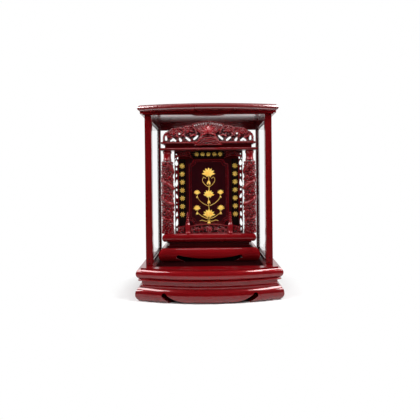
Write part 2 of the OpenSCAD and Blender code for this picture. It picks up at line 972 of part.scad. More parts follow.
module name_panel() {
    face = board_front - name_t;
    color(lacquer_deep) difference() {
        slab(face, board_front) round_rect(-name_half, name_z, name_half, name_top, 2);
        slab(face - eps, face + name_sink) name_field();
    }
}

module header_plaque() {
    face = board_front - name_t - header_lead;
    rim = 3;
    sink = 1.5;
    color(black_ground) difference() {
        slab(face, board_front) round_rect(-header_half, header_z, header_half, board_top, 2);
        slab(face - eps, face + sink)
            round_rect(-header_half + rim, header_z + rim, header_half - rim, board_top - rim, 2);
    }
}

module spandrel() {
    x1 = board_half + fret_w;
    mid = (header_half + x1) / 2;
    half = (x1 - header_half) / 2;
    hole_r = 3.2;
    arch_r = (half * half + spandrel_rise * spandrel_rise) / (2 * spandrel_rise);
    arch_z = couplet_top + spandrel_rise - arch_r;
    slab(board_front - name_t, board_front)
        difference() {
            translate([header_half, couplet_top]) square([x1 - header_half, board_top - couplet_top]);
            translate([mid, arch_z]) circle(r = arch_r, $fn = 180);
            for (k = [-1, 1])
                translate([mid + k * half * 0.55, board_top - 2.5 * hole_r]) circle(r = hole_r);
        }
}

module spandrel_right() { color(lacquer_carved) spandrel(); }
module spandrel_left() { color(lacquer_carved) mirror([1, 0, 0]) spandrel(); }

// Strip of C-scrolls, tied together by a slim stile along the board
module side_fret() {
    z0 = tablet_z;
    z1 = couplet_top;
    stile = 3;
    count = round((z1 - z0) / (2 * fret_w));
    pitch = (z1 - z0) / count;
    outer = pitch / 2 + 0.5;
    inner = outer - stile;
    slab(board_front, board_front + fret_t)
        intersection() {
            translate([board_half, z0]) square([fret_w, z1 - z0]);
            union() {
                translate([board_half, z0]) square([stile, z1 - z0]);
                for (k = [0:count - 1])
                    translate([board_half, z0 + (k + 0.5) * pitch]) {
                        difference() {
                            circle(r = outer);
                            circle(r = inner);
                        }
                        translate([fret_w * 0.36, 0]) circle(r = fret_w * 0.24);
                    }
            }
        }
}

module side_fret_right() { color(lacquer_carved) side_fret(); }
module side_fret_left() { color(lacquer_carved) mirror([1, 0, 0]) side_fret(); }

// Entablature and crown

module lintel_edge(reach) {
    nose = lintel_h * 0.44;
    mid = lintel_h / 2;
    translate([-reach, 0]) square([reach - 7, mid + nose]);
    translate([-reach, 0]) square([reach - 13, lintel_h]);
    translate([-nose, mid]) circle(r = nose);
    translate([-reach, mid - nose]) square([reach - nose, 2 * nose]);
}

module cap_edge(reach) {
    nose = 3.5;
    mid = cap_h - nose - 1;
    translate([-reach, 0]) square([reach - 9, cap_h]);
    translate([-nose, mid]) circle(r = nose);
    translate([-reach, mid - nose]) square([reach - nose, 2 * nose]);
}

module entablature_lintel() {
    color(lacquer) difference() {
        translate([0, 0, lintel_z]) straight_board("lintel", lintel_half, lintel_front, lintel_back);
        at_posts() column_tenons(fit);
    }
}

module entablature_neck() {
    color(lacquer_deep)
        translate([-neck_half, neck_front, neck_z]) cube([2 * neck_half, lintel_back - neck_front, neck_h]);
}

module entablature_cap() {
    color(lacquer) translate([0, 0, cap_z]) straight_board("cap", cap_half, cap_front, lintel_back);
}

// Half-round plaque of concentric bands on the cap and the foot of the crown, with a tongue under the cap
module arch_plaque() {
    foot = cap_z - arch_tongue;
    rise = arch_tongue + cap_h + arch_over;
    r = (arch_half * arch_half + rise * rise) / (2 * rise);
    bands = 4;
    band_w = 7;
    face = cap_front - arch_t;
    color(lacquer_carved) {
        for (k = [0:bands - 1])
            slab(face + (bands - 1 - k) * arch_step, cap_front)
                intersection() {
                    translate([0, foot + rise - r]) circle(r = r - k * band_w, $fn = 180);
                    translate([-arch_half, foot]) square([2 * arch_half, rise]);
                }
        translate([-arch_half / 2, cap_front, foot]) cube([arch_half, neck_front - cap_front, arch_tongue]);
    }
}

// Lobes of the right shoulder of the crown, as centre and radius above the cap
function crown_lobes() = [
    [crown_half * 0.43, crown_h - 44, 30],
    [crown_half * 0.63, crown_h - 48.5, 28],
    [crown_half * 0.74, crown_h - 47.5, 24],
    [crown_half - 30, crown_h - 62, 30]
];

// Scroll rings of the right shoulder of the crown
function crown_rings() = [
    [crown_half * 0.43, crown_h - 33],
    [crown_half * 0.63, crown_h - 40],
    [crown_half * 0.745, crown_h - 43],
    [crown_half - 21, crown_h - 51]
];

// Outline of the crown, a dome between two lobed shoulders, drawn in by a margin
module crown_outline(margin) {
    intersection() {
        translate([0, crown_h - dome_r]) circle(r = dome_r - margin, $fn = 360);
        translate([margin - dome_half, 0]) square([2 * (dome_half - margin), crown_h + eps]);
    }
    for (side = [-1, 1], lobe = crown_lobes())
        translate([side * lobe[0], lobe[1]]) circle(r = lobe[2] - margin);
    translate([-crown_half * 0.86, 0]) square([crown_half * 1.72, crown_h - 46 - margin]);
}

// Foot of the crown, a little short of its rounded ends
module crown_foot() {
    end = crown_half - 0.5;
    translate([-end, 0]) square([2 * end, 12]);
}

// Holes pierced through the right half of the crown
module crown_holes() {
    end_x = crown_half * 0.92;
    bay_x = crown_half * 0.765;
    bay_r = 10.5;
    translate([end_x, 10.5]) circle(r = 4.5);
    translate([end_x, 17]) circle(r = 4);
    intersection() {
        translate([bay_x, 2]) circle(r = bay_r);
        translate([bay_x - bay_r - 1, 2]) square([2 * bay_r + 2, bay_r + 1]);
    }
    translate([crown_half * 0.625, 27]) circle(r = 3.2);
    translate([crown_half * 0.615, 8]) circle(r = 5.5);
    for (k = [0:2]) translate([crown_half * 0.41 + 5 * k, 5 + 4 * k]) circle(r = 4);
    for (k = [0:2]) translate([crown_half * 0.24 + 5 * k, 18 - 4.5 * k]) circle(r = 3.6);
}

// Petal of a lotus standing on the origin
module petal(l, w) {
    r = (l * l / 4 + w * w / 4) / w;
    intersection() {
        translate([r - w / 2, l / 2]) circle(r = r);
        translate([w / 2 - r, l / 2]) circle(r = r);
    }
}

module lotus(l, w, count, spread) {
    for (k = [0:count - 1]) rotate(-spread / 2 + spread * k / (count - 1)) petal(l, w);
}

module crown() {
    rim_w = 4;
    relief = 3;
    lotus_z = crown_h - 40;
    color(lacquer_carved) translate([0, 0, crown_z]) difference() {
        union() {
            slab(crown_y, crown_y + crown_t) intersection() {
                union() {
                    crown_outline(0);
                    crown_foot();
                }
                translate([-crown_half - eps, 0]) square([2 * crown_half + 2 * eps, crown_h + eps]);
            }
            slab(crown_y - relief, crown_y + eps) intersection() {
                difference() {
                    crown_outline(0);
                    crown_outline(rim_w);
                }
                translate([-crown_half, 14]) square([2 * crown_half, crown_h]);
            }
            slab(crown_y - relief, crown_y + eps) translate([0, lotus_z]) lotus(30, 13, 7, 150);
            slab(crown_y - 2 * relief, crown_y + eps) translate([0, lotus_z + 1]) lotus(21, 10, 5, 100);
            for (side = [-1, 1], ring = crown_rings())
                slab(crown_y - relief, crown_y + eps)
                    translate([side * ring[0], ring[1]]) difference() {
                        circle(r = 8);
                        circle(r = 4.5);
                    }
        }
        slab(crown_y - eps - 2 * relief, crown_y + crown_t + eps)
            for (side = [0, 1]) mirror([side, 0]) crown_holes();
    }
}

// Fence

module fence_finial() {
    scoop_r = 10;
    beads = [[0.62, 0.071], [0.74, 0.063], [0.85, 0.053], [0.96, 0.04]];
    translate([finial_x, fence_y, tablet_z])
        rotate_extrude() {
            square([finial_r, finial_h * 0.08]);
            square([finial_r * 0.86, finial_h * 0.46]);
            difference() {
                square([finial_r, finial_h * 0.56]);
                translate([finial_r + scoop_r * 0.62, finial_h * 0.56]) circle(r = scoop_r);
            }
            square([2, finial_h * 0.97]);
            intersection() {
                for (bead = beads) translate([0, finial_h * bead[0]]) circle(r = finial_h * bead[1]);
                square([finial_r, finial_h + eps]);
            }
        }
}

module fence_finial_right() { color(lacquer_carved) fence_finial(); }
module fence_finial_left() { color(lacquer_carved) mirror([1, 0, 0]) fence_finial(); }

module fence_panel() {
    half = finial_x - finial_r * 0.86;
    arch = 6.5;
    arch_r = (half * half + arch * arch) / (2 * arch);
    holes = 6;
    color(lacquer_carved) difference() {
        slab(fence_y - fence_t / 2, fence_y + fence_t / 2)
            difference() {
                intersection() {
                    translate([-half, tablet_z]) square([2 * half, fence_h + arch]);
                    translate([0, tablet_z + fence_h + arch - arch_r]) circle(r = arch_r, $fn = 240);
                }
                for (k = [0:holes - 1])
                    translate([(k - (holes - 1) / 2) * 2 * half / holes, tablet_z + fence_h * 0.5])
                        circle(r = fence_h * 0.16);
            }
        at_posts() translate([finial_x, fence_y, tablet_z - eps])
            cylinder(r = finial_r + fit, h = finial_h);
    }
}

module fence_wing() {
    x0 = finial_x + finial_r + fit;
    sweep_r = (wing_l * wing_l + wing_drop * wing_drop) / (2 * wing_drop);
    slab(fence_y - fence_t / 2, fence_y + fence_t / 2)
        difference() {
            intersection() {
                translate([x0, tablet_z]) square([wing_l, fence_h + wing_drop]);
                translate([x0, tablet_z + fence_h + 1 - sweep_r]) circle(r = sweep_r, $fn = 180);
            }
            translate([x0 + wing_l * 0.5, tablet_z + fence_h * 0.45]) circle(r = wing_l * 0.13);
        }
}

module fence_wing_right() { color(lacquer_carved) fence_wing(); }
module fence_wing_left() { color(lacquer_carved) mirror([1, 0, 0]) fence_wing(); }

// Slip box

module slip_box_side() {
    difference() {
        translate([box_half, board_back, tablet_z]) cube([box_t, box_d, box_h]);
        translate([box_half - eps, cover_y - run, tablet_z - eps])
            cube([cover_groove + eps, cover_t + 2 * run, box_h + 2 * eps]);
    }
}

module slip_box_side_right() { color(lacquer_deep) slip_box_side(); }
module slip_box_side_left() { color(lacquer_deep) mirror([1, 0, 0]) slip_box_side(); }

module slip_box_roof() {
    color(lacquer_deep)
        translate([-box_half, board_back, tablet_z + box_h - box_t])
            cube([2 * box_half, cover_y - run - board_back, box_t]);
}

module name_slips() {
    color(bare_wood) for (k = [0:slip_count - 1])
        slab(board_back + k * slip_t + slip_gap, board_back + (k + 1) * slip_t)
            union() {
                translate([-slip_half, tablet_z]) square([2 * slip_half, slip_h - slip_half]);
                intersection() {
                    translate([-slip_half, tablet_z + slip_half]) square([2 * slip_half, slip_h]);
                    translate([0, tablet_z + slip_h - 2 * slip_half])
                        circle(r = 2 * slip_half, $fn = 180);
                }
            }
}

module slip_cover() {
    half = box_half + cover_groove - run;
    pull_r = 12;
    color(lacquer_deep) difference() {
        translate([-half, cover_y, tablet_z]) cube([2 * half, cover_t, box_h]);
        translate([0, cover_y + cover_t / 2, tablet_z + box_h - 2 * pull_r])
            rotate([-90, 0, 0]) cylinder(r = pull_r, h = cover_t);
    }
}

plinth_front_rail();
plinth_left_rail();
plinth_right_rail();
plinth_back_rail();
plinth_glue_blocks();
waist_front_rail();
waist_left_rail();
waist_right_rail();
waist_back_rail();
deck_board();
front_post_left();
front_post_right();
back_post_left();
back_post_right();
lower_rail_left();
lower_rail_right();
upper_rail_left();
upper_rail_right();
lower_rail_back();
upper_rail_back();
side_pane_left();
side_pane_right();
back_pane();
frieze_front();
frieze_left();
frieze_right();
frieze_back();
top_board();
tablet_plinth();
tablet_waist();
tablet_deck();
dragon_column_left();
dragon_column_right();
front_board();
couplet_panel_left();
couplet_panel_right();
name_panel();
header_plaque();
spandrel_left();
spandrel_right();
side_fret_left();
side_fret_right();
entablature_lintel();
entablature_neck();
entablature_cap();
arch_plaque();
crown();
fence_panel();
fence_finial_left();
fence_finial_right();
fence_wing_left();
fence_wing_right();
slip_box_side_left();
slip_box_side_right();
slip_box_roof();
name_slips();
slip_cover();
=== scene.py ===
from math import cos, hypot, pi, radians, sin, sqrt
import bpy
import numpy as np
from mathutils import Matrix


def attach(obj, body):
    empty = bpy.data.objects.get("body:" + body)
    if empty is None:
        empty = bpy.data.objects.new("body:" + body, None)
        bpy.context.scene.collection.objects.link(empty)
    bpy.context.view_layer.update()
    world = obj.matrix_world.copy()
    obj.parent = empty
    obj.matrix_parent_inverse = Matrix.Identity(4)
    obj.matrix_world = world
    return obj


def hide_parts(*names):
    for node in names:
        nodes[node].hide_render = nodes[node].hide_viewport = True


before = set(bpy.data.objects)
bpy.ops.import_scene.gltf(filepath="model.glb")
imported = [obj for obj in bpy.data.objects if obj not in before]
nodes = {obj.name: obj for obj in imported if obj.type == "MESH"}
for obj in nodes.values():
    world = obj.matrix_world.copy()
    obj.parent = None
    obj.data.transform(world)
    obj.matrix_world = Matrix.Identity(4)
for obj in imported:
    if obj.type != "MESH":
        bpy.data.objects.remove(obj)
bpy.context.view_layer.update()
mm = 0.001
print("frame loaded:", len(nodes), "nodes")


# node helpers: an input that gets a socket is linked, one that gets a value is set

def feed(tree, node, inputs):
    for key, value in inputs.items():
        if isinstance(value, bpy.types.NodeSocket):
            tree.links.new(value, node.inputs[key])
        else:
            node.inputs[key].default_value = value
    return node


def addNode(tree, kind, inputs=None, **settings):
    node = tree.nodes.new(kind)
    for key, value in settings.items():
        setattr(node, key, value)
    return feed(tree, node, inputs or {})


def arithmetic(tree, operation, a, b=0.0, clamp=False):
    node = addNode(tree, "ShaderNodeMath", {0: a, 1: b}, operation=operation, use_clamp=clamp)
    return node.outputs["Value"]


def colourRamp(tree, value, low, high, start=0.3, end=0.7):
    node = addNode(tree, "ShaderNodeValToRGB", {"Fac": value})
    for stop, place, colour in zip(node.color_ramp.elements, (start, end), (low, high)):
        stop.position = place
        stop.color = (*colour, 1)
    return node.outputs["Color"]


def noise(tree, vector, scale, detail, distortion=0.0):
    inputs = {"Vector": vector, "Scale": scale, "Detail": detail, "Distortion": distortion}
    return addNode(tree, "ShaderNodeTexNoise", inputs).outputs["Fac"]


def mapRange(tree, value, low=0.0, high=1.0, start=0.0, end=1.0):
    inputs = {"Value": value, "From Min": start, "From Max": end, "To Min": low, "To Max": high}
    return addNode(tree, "ShaderNodeMapRange", inputs).outputs["Result"]


def mixColour(tree, share, a, b, blend="MIX"):
    inputs = {"Factor": share, 6: a, 7: b}
    return addNode(tree, "ShaderNodeMix", inputs, data_type="RGBA", blend_type=blend).outputs[2]


def mixSurface(tree, share, a, b):
    mix = addNode(tree, "ShaderNodeMixShader", {"Fac": share, 1: a, 2: b})
    feed(tree, tree.nodes["Material Output"], {"Surface": mix.outputs["Shader"]})


def distance(tree, vector):
    return addNode(tree, "ShaderNodeVectorMath", {0: vector}, operation="LENGTH").outputs["Value"]


# how far out a point lies, as the greatest of scaled distances: 1 on the edge of a zone, less inside it
def reach(tree, coords, terms):
    total = None
    for scale, shift in terms:
        inputs = {0: coords, 1: scale, 2: shift}
        moved = addNode(tree, "ShaderNodeVectorMath", inputs, operation="MULTIPLY_ADD")
        span = distance(tree, moved.outputs["Vector"])
        total = arithmetic(tree, "MAXIMUM", total, span) if total else span
    return total


def boxTerms(half, middle=0.0):
    return [((1 / half[0], 0, 0), (0, 0, 0)), ((0, 1 / half[1], 0), (0, -middle / half[1], 0))]


def newMaterial(name):
    mat = bpy.data.materials.new(name)
    mat.use_nodes = True
    tree = mat.node_tree
    coords = tree.nodes.new("ShaderNodeTexCoord").outputs["Object"]
    return mat, tree, tree.nodes["Principled BSDF"], coords


def addObject(name, data):
    obj = bpy.data.objects.new(name, data)
    bpy.context.scene.collection.objects.link(obj)
    return obj


# lacquered wood: grain stretched along one axis, a gloss coat with a slight haze, fine brush ripple;
# the hollows of a carving get painted shade, and inside a zone the colour is painted dark as shade and the
# gloss is taken off

lacquerSet = {
    "grainScale": 9.0, "grainDetail": 7.0, "grainWarp": 0.8, "rippleScale": 36.0, "rippleDetail": 4.0,
    "bump": 0.025, "bumpDepth": 0.0006, "hazeScale": 26.0, "hazeDetail": 3.0, "haze": (0.75, 1.35),
    "under": 1.5, "level": 0.5, "tint": (1, 1, 1), "coat": 1.0, "coatRough": 0.035, "coatIor": 1.52,
    "cavity": None, "cavityRange": (0.16, 0.80), "rubbed": None, "rubbedEdge": (1.0, 0.94),
    "rubbedTone": (0.010, 0.0010, 0.0014), "rubbedCoat": 0.0, "rubbedLevel": 0.03, "rubbedRough": 0.9
}


def lacquer(name, grain, tone, **more):
    s = {**lacquerSet, **tone, **more}
    mat, tree, shader, coords = newMaterial(name)
    along = addNode(tree, "ShaderNodeMapping", {"Vector": coords, "Scale": grain}).outputs["Vector"]
    streaks = noise(tree, along, s["grainScale"], s["grainDetail"], s["grainWarp"])
    colour = colourRamp(tree, streaks, s["deep"], s["base"])
    coat, level = s["coat"], s["level"]
    # painted shade: by the relief share of each point, the low and back parts of a carving are darkened
    # towards the hollow colour
    if s["cavity"]:
        relief = addNode(tree, "ShaderNodeAttribute", attribute_name="relief").outputs["Fac"]
        shade = colourRamp(tree, relief, s["cavity"], (1, 1, 1), *s["cavityRange"])
        colour = mixColour(tree, 1.0, colour, shade, "MULTIPLY")
    # painted shade: inside the zone the colour goes to a near black, and the coat and gloss are taken off
    if s["rubbed"]:
        inShade = mapRange(tree, reach(tree, coords, boxTerms(*s["rubbed"])), 0, 1, *s["rubbedEdge"])
        colour = mixColour(tree, inShade, colour, (*s["rubbedTone"], 1))
        coat = mapRange(tree, inShade, coat, s["rubbedCoat"])
        level = mapRange(tree, inShade, level, s["rubbedLevel"])
        rough = mapRange(tree, inShade, s["rough"], s["rubbedRough"])
    else:
        haze = noise(tree, coords, s["hazeScale"], s["hazeDetail"])
        rough = mapRange(tree, haze, *[s["rough"] * share for share in s["haze"]])
    ripple = noise(tree, along, s["rippleScale"], s["rippleDetail"])
    bumps = {"Strength": s["bump"], "Distance": s["bumpDepth"], "Height": ripple}
    normal = addNode(tree, "ShaderNodeBump", bumps).outputs["Normal"]
    feed(tree, shader, {
        "Base Color": colour, "Roughness": rough, "IOR": s["under"], "Specular IOR Level": level,
        "Specular Tint": (*s["tint"], 1), "Coat Weight": coat, "Coat Roughness": s["coatRough"],
        "Coat IOR": s["coatIor"], "Normal": normal})
    return mat


alongX, alongY, alongZ = (1.2, 14, 14), (14, 1.2, 14), (14, 14, 1.2)
redTone = {
    "base": (0.152, 0.0020, 0.0038), "deep": (0.116, 0.0014, 0.0028), "tint": (1.0, 0.10, 0.12),
    "rough": 0.28, "level": 0.35, "coat": 0.7
}
# painted shade: a darker copy of the red lacquer for the rails, back posts, recesses and boxes inside the
# case and the tablet
shadedRedTone = {
    "base": (0.048, 0.0013, 0.0021), "deep": (0.029, 0.0008, 0.0013), "tint": (1.0, 0.12, 0.14),
    "rough": 0.30, "level": 0.3, "coat": 0.3
}
# painted light: a lighter copy of the red lacquer for the carvings, which stand in the shade inside the
# case
litCarvedTone = {
    "base": (0.225, 0.0036, 0.0072), "deep": (0.155, 0.0021, 0.0046), "tint": (1.0, 0.13, 0.16),
    "rough": 0.26, "level": 0.4, "coat": 1.0
}
panelTone = {
    "base": (0.019, 0.0008, 0.0022), "deep": (0.012, 0.001, 0.002), "rough": 0.30, "level": 0.1,
    "coat": 0.12
}
blackTone = {
    "base": (0.006, 0.002, 0.002), "deep": (0.003, 0.001, 0.001), "rough": 0.40, "level": 0.08,
    "coat": 0.08
}
bareTone = {
    "base": (0.52, 0.34, 0.19), "deep": (0.36, 0.22, 0.11), "rough": 0.6, "coat": 0.0, "bump": 0.3
}
topGloss = {
    "coat": 1.0, "coatIor": 2.0, "coatRough": 0.15, "under": 2.0, "level": 0.5, "tint": (1.0, 0.7, 0.7)
}


# a copy of a tone scaled in brightness: above 1 it is painted light, below 1 painted shade
def litOrShadedCopy(tone, share):
    return {**tone, **{key: tuple(share * part for part in tone[key]) for key in ("base", "deep")}}


finish = {
    "redX": lacquer("redLacquerX", alongX, redTone),
    "redY": lacquer("redLacquerY", alongY, redTone),
    # painted shade on the plinth, posts and beams; painted light on the frieze, which lies in the shade of
    # the top board's overhang
    "plinthX": lacquer("plinthLacquerX", alongX, litOrShadedCopy(redTone, 0.78)),
    "plinthY": lacquer("plinthLacquerY", alongY, litOrShadedCopy(redTone, 0.78)),
    "post": lacquer("postLacquer", alongZ, litOrShadedCopy(redTone, 0.75)),
    "beam": lacquer("beamLacquer", alongX, litOrShadedCopy(redTone, 0.72)),
    "frieze": lacquer("friezeLacquer", alongX, litOrShadedCopy(redTone, 1.25)),
    "top": lacquer("topLacquer", alongX, {**redTone, **topGloss}),
    # painted shade on the deck inside the case, and on the back part of the tablet foot round the tunnel
    # under its apron
    "deck": lacquer("deckLacquer", alongX, redTone, rubbed=((0.180, 0.114), 0.016)),
    "foot": lacquer("footLacquer", alongX, redTone, rubbed=((0.152, 0.0625), 0.0345)),
    "shadedX": lacquer("deepLacquerX", alongX, shadedRedTone),
    "shadedY": lacquer("deepLacquerY", alongY, shadedRedTone),
    "shadedZ": lacquer("deepLacquerZ", alongZ, shadedRedTone),
    # painted shade in the hollows of the carvings
    "carved": lacquer("carvedLacquer", alongZ, litCarvedTone, cavity=(0.03, 0.02, 0.03)),
    "carvedTop": lacquer("carvedLacquerTop", alongZ, litCarvedTone),
    "panel": lacquer("panelLacquer", alongZ, panelTone),
    "black": lacquer("blackLacquer", alongZ, blackTone),
    "bare": lacquer("bareWood", alongZ, bareTone),
}

goldSet = {
    "deep": (0.95, 0.52, 0.07), "base": (1.0, 0.74, 0.17), "band": (0.35, 0.65), "mottle": (160.0, 4.0),
    "fine": (300.0, 3.0), "rough": (0.32, 0.55), "metal": 0.4
}


def gildedFinish():
    s = goldSet
    mat, tree, shader, coords = newMaterial("goldLeaf")
    colour = colourRamp(tree, noise(tree, coords, *s["mottle"]), s["deep"], s["base"], *s["band"])
    rough = mapRange(tree, noise(tree, coords, *s["fine"]), *s["rough"])
    feed(tree, shader, {"Base Color": colour, "Roughness": rough, "Metallic": s["metal"]})
    return mat


paneSet = {
    "tints": ((0.996, 0.999, 0.998), (1.0, 1.0, 1.0)), "band": (0.2, 0.8), "cloud": (5.0, 2.0),
    "smear": (40.0, 2.0), "rough": (0.0, 0.03), "ior": 1.22, "slant": 0.12
}


# clear glass, which reflects at a slant and only on its outer faces
def paneFinish():
    s = paneSet
    mat, tree, shader, coords = newMaterial("clearPane")
    tree.nodes.remove(shader)
    tint = colourRamp(tree, noise(tree, coords, *s["cloud"]), *s["tints"], *s["band"])
    clear = addNode(tree, "ShaderNodeBsdfTransparent", {"Color": tint}).outputs["BSDF"]
    rough = mapRange(tree, noise(tree, coords, *s["smear"]), *s["rough"])
    gloss = addNode(tree, "ShaderNodeBsdfGlossy", {"Roughness": rough}).outputs["BSDF"]
    edge = addNode(tree, "ShaderNodeFresnel", {"IOR": s["ior"]}).outputs["Fac"]
    inner = tree.nodes.new("ShaderNodeNewGeometry").outputs["Backfacing"]
    share = arithmetic(tree, "SUBTRACT", mapRange(tree, edge, start=s["slant"]), inner, True)
    mixSurface(tree, share, clear, gloss)
    return mat


finish["gilt"] = gildedFinish()
finish["pane"] = paneFinish()


def bothSides(*names):
    return [name + side for name in names for side in ("_left", "_right")]


nodeFinish = {
    "redX": ["waist_front_rail", "tablet_deck", "arch_plaque"],
    "redY": ["waist_left_rail", "waist_right_rail", *bothSides("frieze")],
    "plinthX": ["plinth_front_rail"],
    "plinthY": ["plinth_left_rail", "plinth_right_rail"],
    "post": bothSides("front_post"),
    "beam": ["entablature_lintel", "entablature_cap"],
    "frieze": ["frieze_front"],
    "top": ["top_board"],
    "deck": ["deck_board"],
    "foot": ["tablet_plinth"],
    "shadedX": ["plinth_back_rail", "waist_back_rail", "lower_rail_back", "upper_rail_back", "frieze_back",
              "tablet_waist", "entablature_neck", "slip_box_roof"],
    "shadedY": bothSides("lower_rail", "upper_rail"),
    "shadedZ": ["front_board", "slip_cover", *bothSides("back_post", "slip_box_side")],
    "carvedTop": ["crown", "fence_panel", *bothSides("dragon_column", "spandrel", "side_fret"),
                  *bothSides("fence_finial", "fence_wing")],
    "panel": ["name_panel"],
    "black": ["header_plaque", *bothSides("couplet_panel")],
    "bare": ["plinth_glue_blocks", "name_slips"],
    "pane": ["back_pane", *bothSides("side_pane")],
}
for key, names in nodeFinish.items():
    for name in names:
        nodes[name].data.materials.clear()
        nodes[name].data.materials.append(finish[key])
print("finishes on", sum(len(v) for v in nodeFinish.values()), "nodes")


# stage: white floor, studio surround, soft boxes, camera

stageSet = {
    "floorHalf": 6.0, "floorDrop": 0.0002, "floorRough": 0.9, "paper": 0.86, "darkFloorAndShadow": 0.03,
    # the dark value is both the floor beyond the paper sheet and the painted shadow under the base
    "sheetEdge": (0.42, 0.60), "paintedShadowArc": (0.396, 0.546), "paintedShadowHalf": (0.222, 0.151),
    "paintedShadowEdge": (0.97, 1.0), "shadow": (0.25, 0.35), "farSide": (-0.2, 0.5),
    "roomSide": (0.02, 0.12, 0.5, 0.85), "roomTop": (0.0, 0.06, 0.35, 0.95)
}


# the white ground as the camera and glass see it
# gloss sees it on the far side only, because the near side is a dim room
def showsWhite(tree, coords):
    path = tree.nodes.new("ShaderNodeLightPath").outputs
    depth = addNode(tree, "ShaderNodeSeparateXYZ", {"Vector": coords}).outputs["Y"]
    far = mapRange(tree, depth, 0, 1, *stageSet["farSide"])
    gloss = arithmetic(tree, "MULTIPLY", path["Is Glossy Ray"], far)
    straight = arithmetic(tree, "MAXIMUM", path["Is Camera Ray"], path["Is Transmission Ray"])
    return arithmetic(tree, "MAXIMUM", straight, gloss)


def buildFloor():
    s = stageSet
    half = s["floorHalf"]
    mesh = bpy.data.meshes.new("floor")
    corners = [(-half, -half, 0), (half, -half, 0), (half, half, 0), (-half, half, 0)]
    mesh.from_pydata(corners, [], [(0, 1, 2, 3)])
    floor = addObject("floor", mesh)
    floor.location.z = -s["floorDrop"]
    mat, tree, shader, coords = newMaterial("paperFloor")
    away = distance(tree, coords)
    paper, darkFloorAndShadow = (s["paper"],) * 3, (s["darkFloorAndShadow"],) * 3
    sheet = colourRamp(tree, away, paper, darkFloorAndShadow, *s["sheetEdge"])
    # painted shadow: the ground under the base, inside the bow of its front, is coloured dark
    centre, radius = s["paintedShadowArc"]
    arc = ((1 / radius, 1 / radius, 0), (0, -centre / radius, 0))
    inside = reach(tree, coords, [arc] + boxTerms(s["paintedShadowHalf"]))
    under = colourRamp(tree, inside, darkFloorAndShadow, (1, 1, 1), *s["paintedShadowEdge"])
    ground = mixColour(tree, 1.0, sheet, under, "MULTIPLY")
    feed(tree, shader, {"Base Color": ground, "Roughness": s["floorRough"]})
    white = addNode(tree, "ShaderNodeEmission", {"Color": (1, 1, 1, 1)}).outputs["Emission"]
    seen = arithmetic(tree, "MULTIPLY", showsWhite(tree, coords), mapRange(tree, away, 0, 1, *s["shadow"]))
    mixSurface(tree, seen, shader.outputs["BSDF"], white)
    mesh.materials.append(mat)


def buildSurround():
    world = bpy.data.worlds.new("studio")
    bpy.context.scene.world = world
    world.use_nodes = True
    tree = world.node_tree
    coords = tree.nodes.new("ShaderNodeTexCoord").outputs["Generated"]
    axes = addNode(tree, "ShaderNodeSeparateXYZ", {"Vector": coords}).outputs
    total = showsWhite(tree, coords)
    for value, key in ((arithmetic(tree, "ABSOLUTE", axes["X"]), "roomSide"), (axes["Z"], "roomTop")):
        total = arithmetic(tree, "MAXIMUM", total, mapRange(tree, value, *stageSet[key]))
    feed(tree, tree.nodes["Background"], {"Color": (1, 1, 1, 1), "Strength": total})


# each soft box: place, aim, size, watts, and the rays that don't see it
lampSet = {
    "boxLeft": ((-0.95, -0.52, 1.38), (-0.1, -0.1, 0.1), (0.75, 0.38), 17.0, None),
    "boxRight": ((0.95, -0.52, 1.38), (0.1, -0.1, 0.1), (0.75, 0.38), 22.0, None),
    "boxFront": ((0, -2.2, 1.45), (0, 0, 0.33), (2.0, 0.5), 13.0, "glossy"),
    "lowFront": ((0, -2.1, 0.42), (0, 0, 0.50), (1.2, 0.3), 4.0, "glossy"),
    "sideLeft": ((-1.2, -0.75, 0.85), (0, 0, 0.38), (0.3, 0.3), 7.0, None),
    "sideRight": ((1.2, -0.75, 0.85), (0, 0, 0.38), (0.3, 0.3), 7.0, None),
    "crownLight": ((0, -0.085, 0.575), (0, -0.02, 0.46), (0.30, 0.02), 0.28, "camera"),
}


def softBox(name, place, aim, size, watts, unseen):
    lamp = bpy.data.lights.new(name, "AREA")
    lamp.shape = "RECTANGLE"
    lamp.size, lamp.size_y = size
    lamp.energy = watts
    obj = addObject(name, lamp)
    if unseen:
        setattr(obj, "visible_" + unseen, False)
    away = np.array(place) - np.array(aim)
    away = away / np.linalg.norm(away)
    right = np.cross((0, 0, 1), away)
    right = right / np.linalg.norm(right)
    up = np.cross(away, right)
    rows = [[right[i], up[i], away[i], place[i]] for i in range(3)]
    obj.matrix_world = Matrix(rows + [[0, 0, 0, 1]])


cameraSet = {
    "place": (-0.0018, -1.2237, 0.3722), "yaw": -0.294, "pitch": -0.306, "roll": -0.591, "focal": 358.64,
    "centre": (209.99, 182.49), "pixels": 420, "sensor": 36, "clipEnd": 50
}


def buildCamera():
    s = cameraSet
    cam = bpy.data.cameras.new("camera")
    pixels = s["pixels"]
    cam.sensor_width = s["sensor"]
    cam.lens = s["focal"] / pixels * s["sensor"]
    cam.shift_x = (pixels / 2 - s["centre"][0]) / pixels
    cam.shift_y = (s["centre"][1] - pixels / 2) / pixels
    cam.clip_end = s["clipEnd"]
    obj = addObject("camera", cam)
    turn = Matrix.Translation(s["place"])
    for angle, axis in ((s["yaw"], "Z"), (90 + s["pitch"], "X"), (s["roll"], "Z")):
        turn = turn @ Matrix.Rotation(radians(angle), 4, axis)
    obj.matrix_world = turn
    bpy.context.scene.camera = obj


buildFloor()
buildSurround()
for name, values in lampSet.items():
    softBox(name, *values)
buildCamera()
bpy.context.scene.view_settings.view_transform = "Standard"
print("stage, lamps and camera set")


# mesh helpers, millimetres in and metres out; each part is its vertices, its faces and its share of relief

# relief shares, which the carved finish turns into painted shade: the lower the share, the darker
raised, turned, behind = 0.9, 0.8, 0.5
askew = (0.3, 0.5, 0.81)


